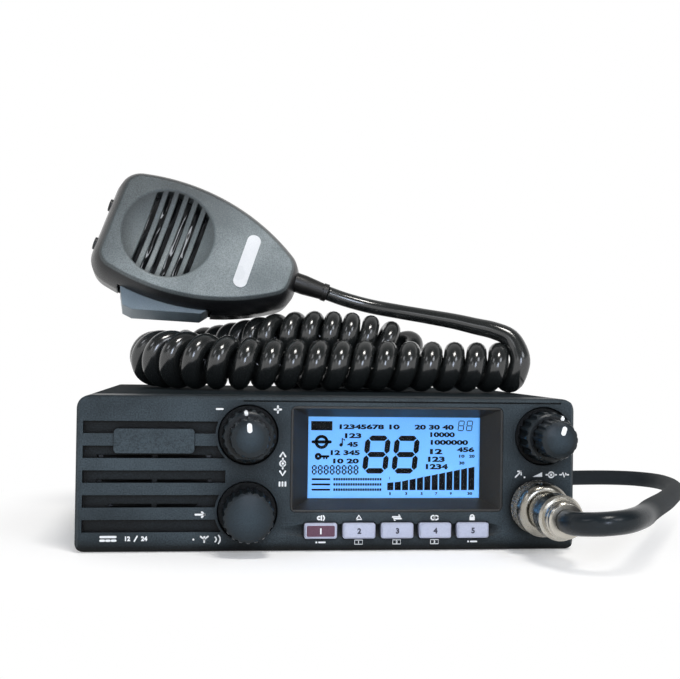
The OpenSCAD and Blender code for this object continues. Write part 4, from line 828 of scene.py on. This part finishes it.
knob_cap("cap_fine", clarifier_axis, 5.4, -84.02, "clarifier_fine")
knob_cap("cap_volume", volume_axis, 5.4, -84.02, "volume")
knob_cap("cap_channel", channel_axis, 7.45, -80.52, "channel_dial")
index_on("index_coarse", clarifier_axis, -8, 6.9, 8.7, 0.62, ring_front, "clarifier_coarse")
index_on("index_fine", clarifier_axis, -4, 1.9, 5.1, 0.8, dome_front, "clarifier_fine")
index_on("index_squelch", volume_axis, 31, 6.9, 8.7, 0.62, ring_front, "squelch")
index_on("index_volume", volume_axis, 20, 1.7, 4.9, 0.8, dome_front, "volume")


# Loudspeaker: a pressed steel basket with its magnet, screwed to the back of the panel.
# Its black paper cone shows through the louvres' slits.
dress(turned("basket_steel", "3c3e42", "54575b", 0.4, 2.0), "speaker")
dress(moulded("cone_paper", "0d0d0e", "171718", 0.8, 0.0003, 0.00005), "speaker_cone")


# Microphone socket and plug: nickelled brass. A knurled ring screws the plug on to the socket's threaded nose;
# the shell behind it has a polished neck, a rear body and a stepped clamp round the cord.
plug_nickel = turned("plug_nickel", "aaa69d", "cdc9bf", 0.22, 3.0)
dress(plug_nickel, "mic_socket", "plug_washer", "plug_shell", "plug_clamp")
dress(moulded("insert_bakelite", "141210", "211d1a", 0.4, 0.0006, 0.00002), "mic_socket_insert")


def knurled_ring(middle, columns):
    """Coupling ring as a surface of revolution about an axis along Y: a closed profile of (radius, distance ahead
    of the face), with a diamond knurl on its band: the depth follows the nearer of two families of helical grooves,
    each a rectified sine of the angle plus or minus the distance along the axis."""
    bore, hole, outer, start, lip, length = 7.35, 6.65, 9.15, 1.5, 11.05, 13.0
    band_start, band_end, band_rows = 1.9, 10.0, 72
    knurl_start, knurl_end, knurl_fade = 2.3, 9.3, 0.25
    grooves, lead, knurl_depth, sharpness = 40, 1.4, 0.42, 1.4
    bend = np.linspace(0, math.pi / 2, 13)
    band = np.linspace(band_start, band_end, band_rows)
    shoulder = np.stack([hole + (outer - hole) * np.cos(bend), band_end + (length - band_end) * np.sin(bend)], axis=1)
    front_edge = [(bore, start), (outer - 0.4, start)]
    profile = np.vstack([front_edge, np.stack([np.full(band_rows, outer), band], axis=1), shoulder[1:],
                         [(hole, lip), (bore, lip), (bore, start)]])
    turn = np.linspace(0, 2 * math.pi, columns, endpoint=False)[None, :]
    r, ahead = profile[:, :1], profile[:, 1:]
    knurl = np.minimum(np.abs(np.sin(grooves * turn / 2 + math.pi * ahead / lead)),
                       np.abs(np.sin(grooves * turn / 2 - math.pi * ahead / lead)))
    on_band = np.zeros((len(profile), 1))
    band_places = slice(len(front_edge), len(front_edge) + band_rows)
    on_band[band_places, 0] = np.clip(np.minimum(band - knurl_start, knurl_end - band) / knurl_fade, 0, 1)
    r = r - knurl_depth * on_band * (1 - np.clip(knurl * sharpness, 0, 1))
    points = np.stack([middle[0] + r * np.sin(turn), np.broadcast_to(face_y - ahead, r.shape),
                       middle[1] + r * np.cos(turn)], axis=2)
    return points.reshape(-1, 3) * MM, grid_faces(len(profile), columns, close_columns=True)


points, faces = knurled_ring((71.1, 15.0), 460)
coupling = put_mesh("coupling_knurled", points, faces, turned("knurl_nickel", "8e8a82", "b2aea4", 0.26, 3.0))
crease = coupling.modifiers.new("crease", "EDGE_SPLIT")
crease.split_angle = math.radians(40)
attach(coupling, "coupling_ring")
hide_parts("plug_ring")


# Hand microphone: two moulded shells screwed together from behind, the front one with a satin grey lacquered face,
# a dished grille with six slots over a gloss film, a bare pale plate, and near-black sides, which are painted shade.
# The face's tone grows lighter from the upper left to the cord's end as painted light, and darkens in the dish as
# painted shade, as in the photo.
mic_origin = np.array([-59.0, 10.0, 114.4]) * MM
mic_u = np.array([0.94909, -0.01810, -0.31447])
mic_w = np.array([-0.06738, 0.96357, -0.25882])
mic_v = np.array([0.30770, 0.26683, 0.91330])

face = Finish("mic_lacquer")
dish_inner_r, dish_outer_r, dish_clear_r = 0.0125, 0.0185, 0.0195
dish_start, dish_end = 0.0001, 0.0004
flank_start, flank_end = 0.0009, 0.0017
dark_end, light_end = -0.021, 0.019
from_middle = face.add("ShaderNodeVectorMath", "Vector", {0: face.place, 1: tuple(mic_origin)}, operation="SUBTRACT")
along_u, along_v, depth = (face.dot(from_middle, direction) for direction in (mic_u, mic_v, mic_w))
flat_r2 = face.math("MULTIPLY_ADD", along_v, along_v, face.math("MULTIPLY", along_u, along_u))
outside = face.math("GREATER_THAN", flat_r2, dish_clear_r ** 2)
flank = face.math("MULTIPLY", face.ramp(depth, flank_start, flank_end, smooth=True), outside)
speck = face.noise(2000.0, 3.0)
speckle = face.ramp(face.math("MULTIPLY", speck, face.noise(40.0, 3.0)), 0.14, 0.36)
# Painted light: the face's tone grows lighter from the upper left to the cord's end.
slope = face.math("MULTIPLY_ADD", along_u, 0.7, face.math("MULTIPLY", along_v, -0.7))
painted_light_slope = face.ramp(slope, dark_end, light_end, smooth=True)
face_tone = face.mix(painted_light_slope, face.mix(speckle, "2f3639", "4a5356"), face.mix(speckle, "5e686b", "868f91"))
# Painted shade: the dish darkens, most towards its rim.
dish_rim = face.ramp(flat_r2, dish_inner_r ** 2, dish_outer_r ** 2, 0.12, 0.5)
in_dish = face.math("MULTIPLY", face.ramp(depth, dish_start, dish_end), dish_rim)
face_tone = face.mix(1.0, face_tone, face.ramp(in_dish, 0.0, 1.0, 1.0, 0.0), "MULTIPLY")
# Painted shade: the shell's sides beyond the face turn near-black.
shell_tone = face.mix(flank, face_tone, face.mix(speckle, "131416", "1d1e20"))
mic_lacquer = face.surface({"Base Color": shell_tone, "Roughness": face.ramp(flank, 0.0, 1.0, 0.42, 0.30),
                            "Normal": face.bump(speck, 0.0001, edge=0.0008, samples=6)})
dress(mic_lacquer, "mic_front_shell", split_degrees=20)

# The rear shell's near-black tone is painted shade, like the front shell's sides.
mic_dark = moulded("mic_dark", "131416", "1e1f21", 0.30, 0.0004, 0.00002, edge=0.0012)
dress(mic_dark, "mic_rear_shell", split_degrees=40)

film = Finish("film_gloss")
stretch = 0.22
film_place = film.add("ShaderNodeCombineXYZ", "Vector", {"X": film.dot(film.place, mic_u),
                                                         "Y": film.dot(film.place, mic_v * stretch)})
crinkle = film.noise(260.0, 1.0, film_place)
film_gloss = film.surface({"Base Color": film.mix(crinkle, "050506", "16181b"), "Roughness": 0.07,
                           "Normal": film.bump(crinkle, 0.0024), "Specular IOR Level": 0.9})
dress(film_gloss, "mic_screen")
dress(moulded("label_enamel", "d6d9dc", "e3e5e7", 0.32, 0.0005, 0.000008, edge=0.0002), "mic_label_plate")


# Press-to-talk lever, its steel pin, and two push buttons in the microphone's upper end.
# The lever is moulded in a bluer grey than the face's; the buttons are near-black.
dress(moulded("lever_lacquer", "63727d", "788791", 0.42, 0.0004, 0.00004, edge=0.0006), "ptt_lever")
dress(shaft_steel, "ptt_pin")
button_black = moulded("button_black", "1b1d1f", "26292b", 0.40, 0.0004, 0.00002, edge=0.0008)
dress(button_black, "mic_up_button", "mic_down_button")


# Cord sleeve of soft black rubber, moulded on to the lead, and the stud that hangs the microphone in its clip.
# The stud is moulded in the rear shell's resin and screwed to its back.
dress(moulded("sleeve_rubber", "111111", "1c1c1b", 0.36, 0.0005, 0.00003, edge=0.0005), "mic_strain_relief")
dress(mic_dark, "mic_hang_stud")
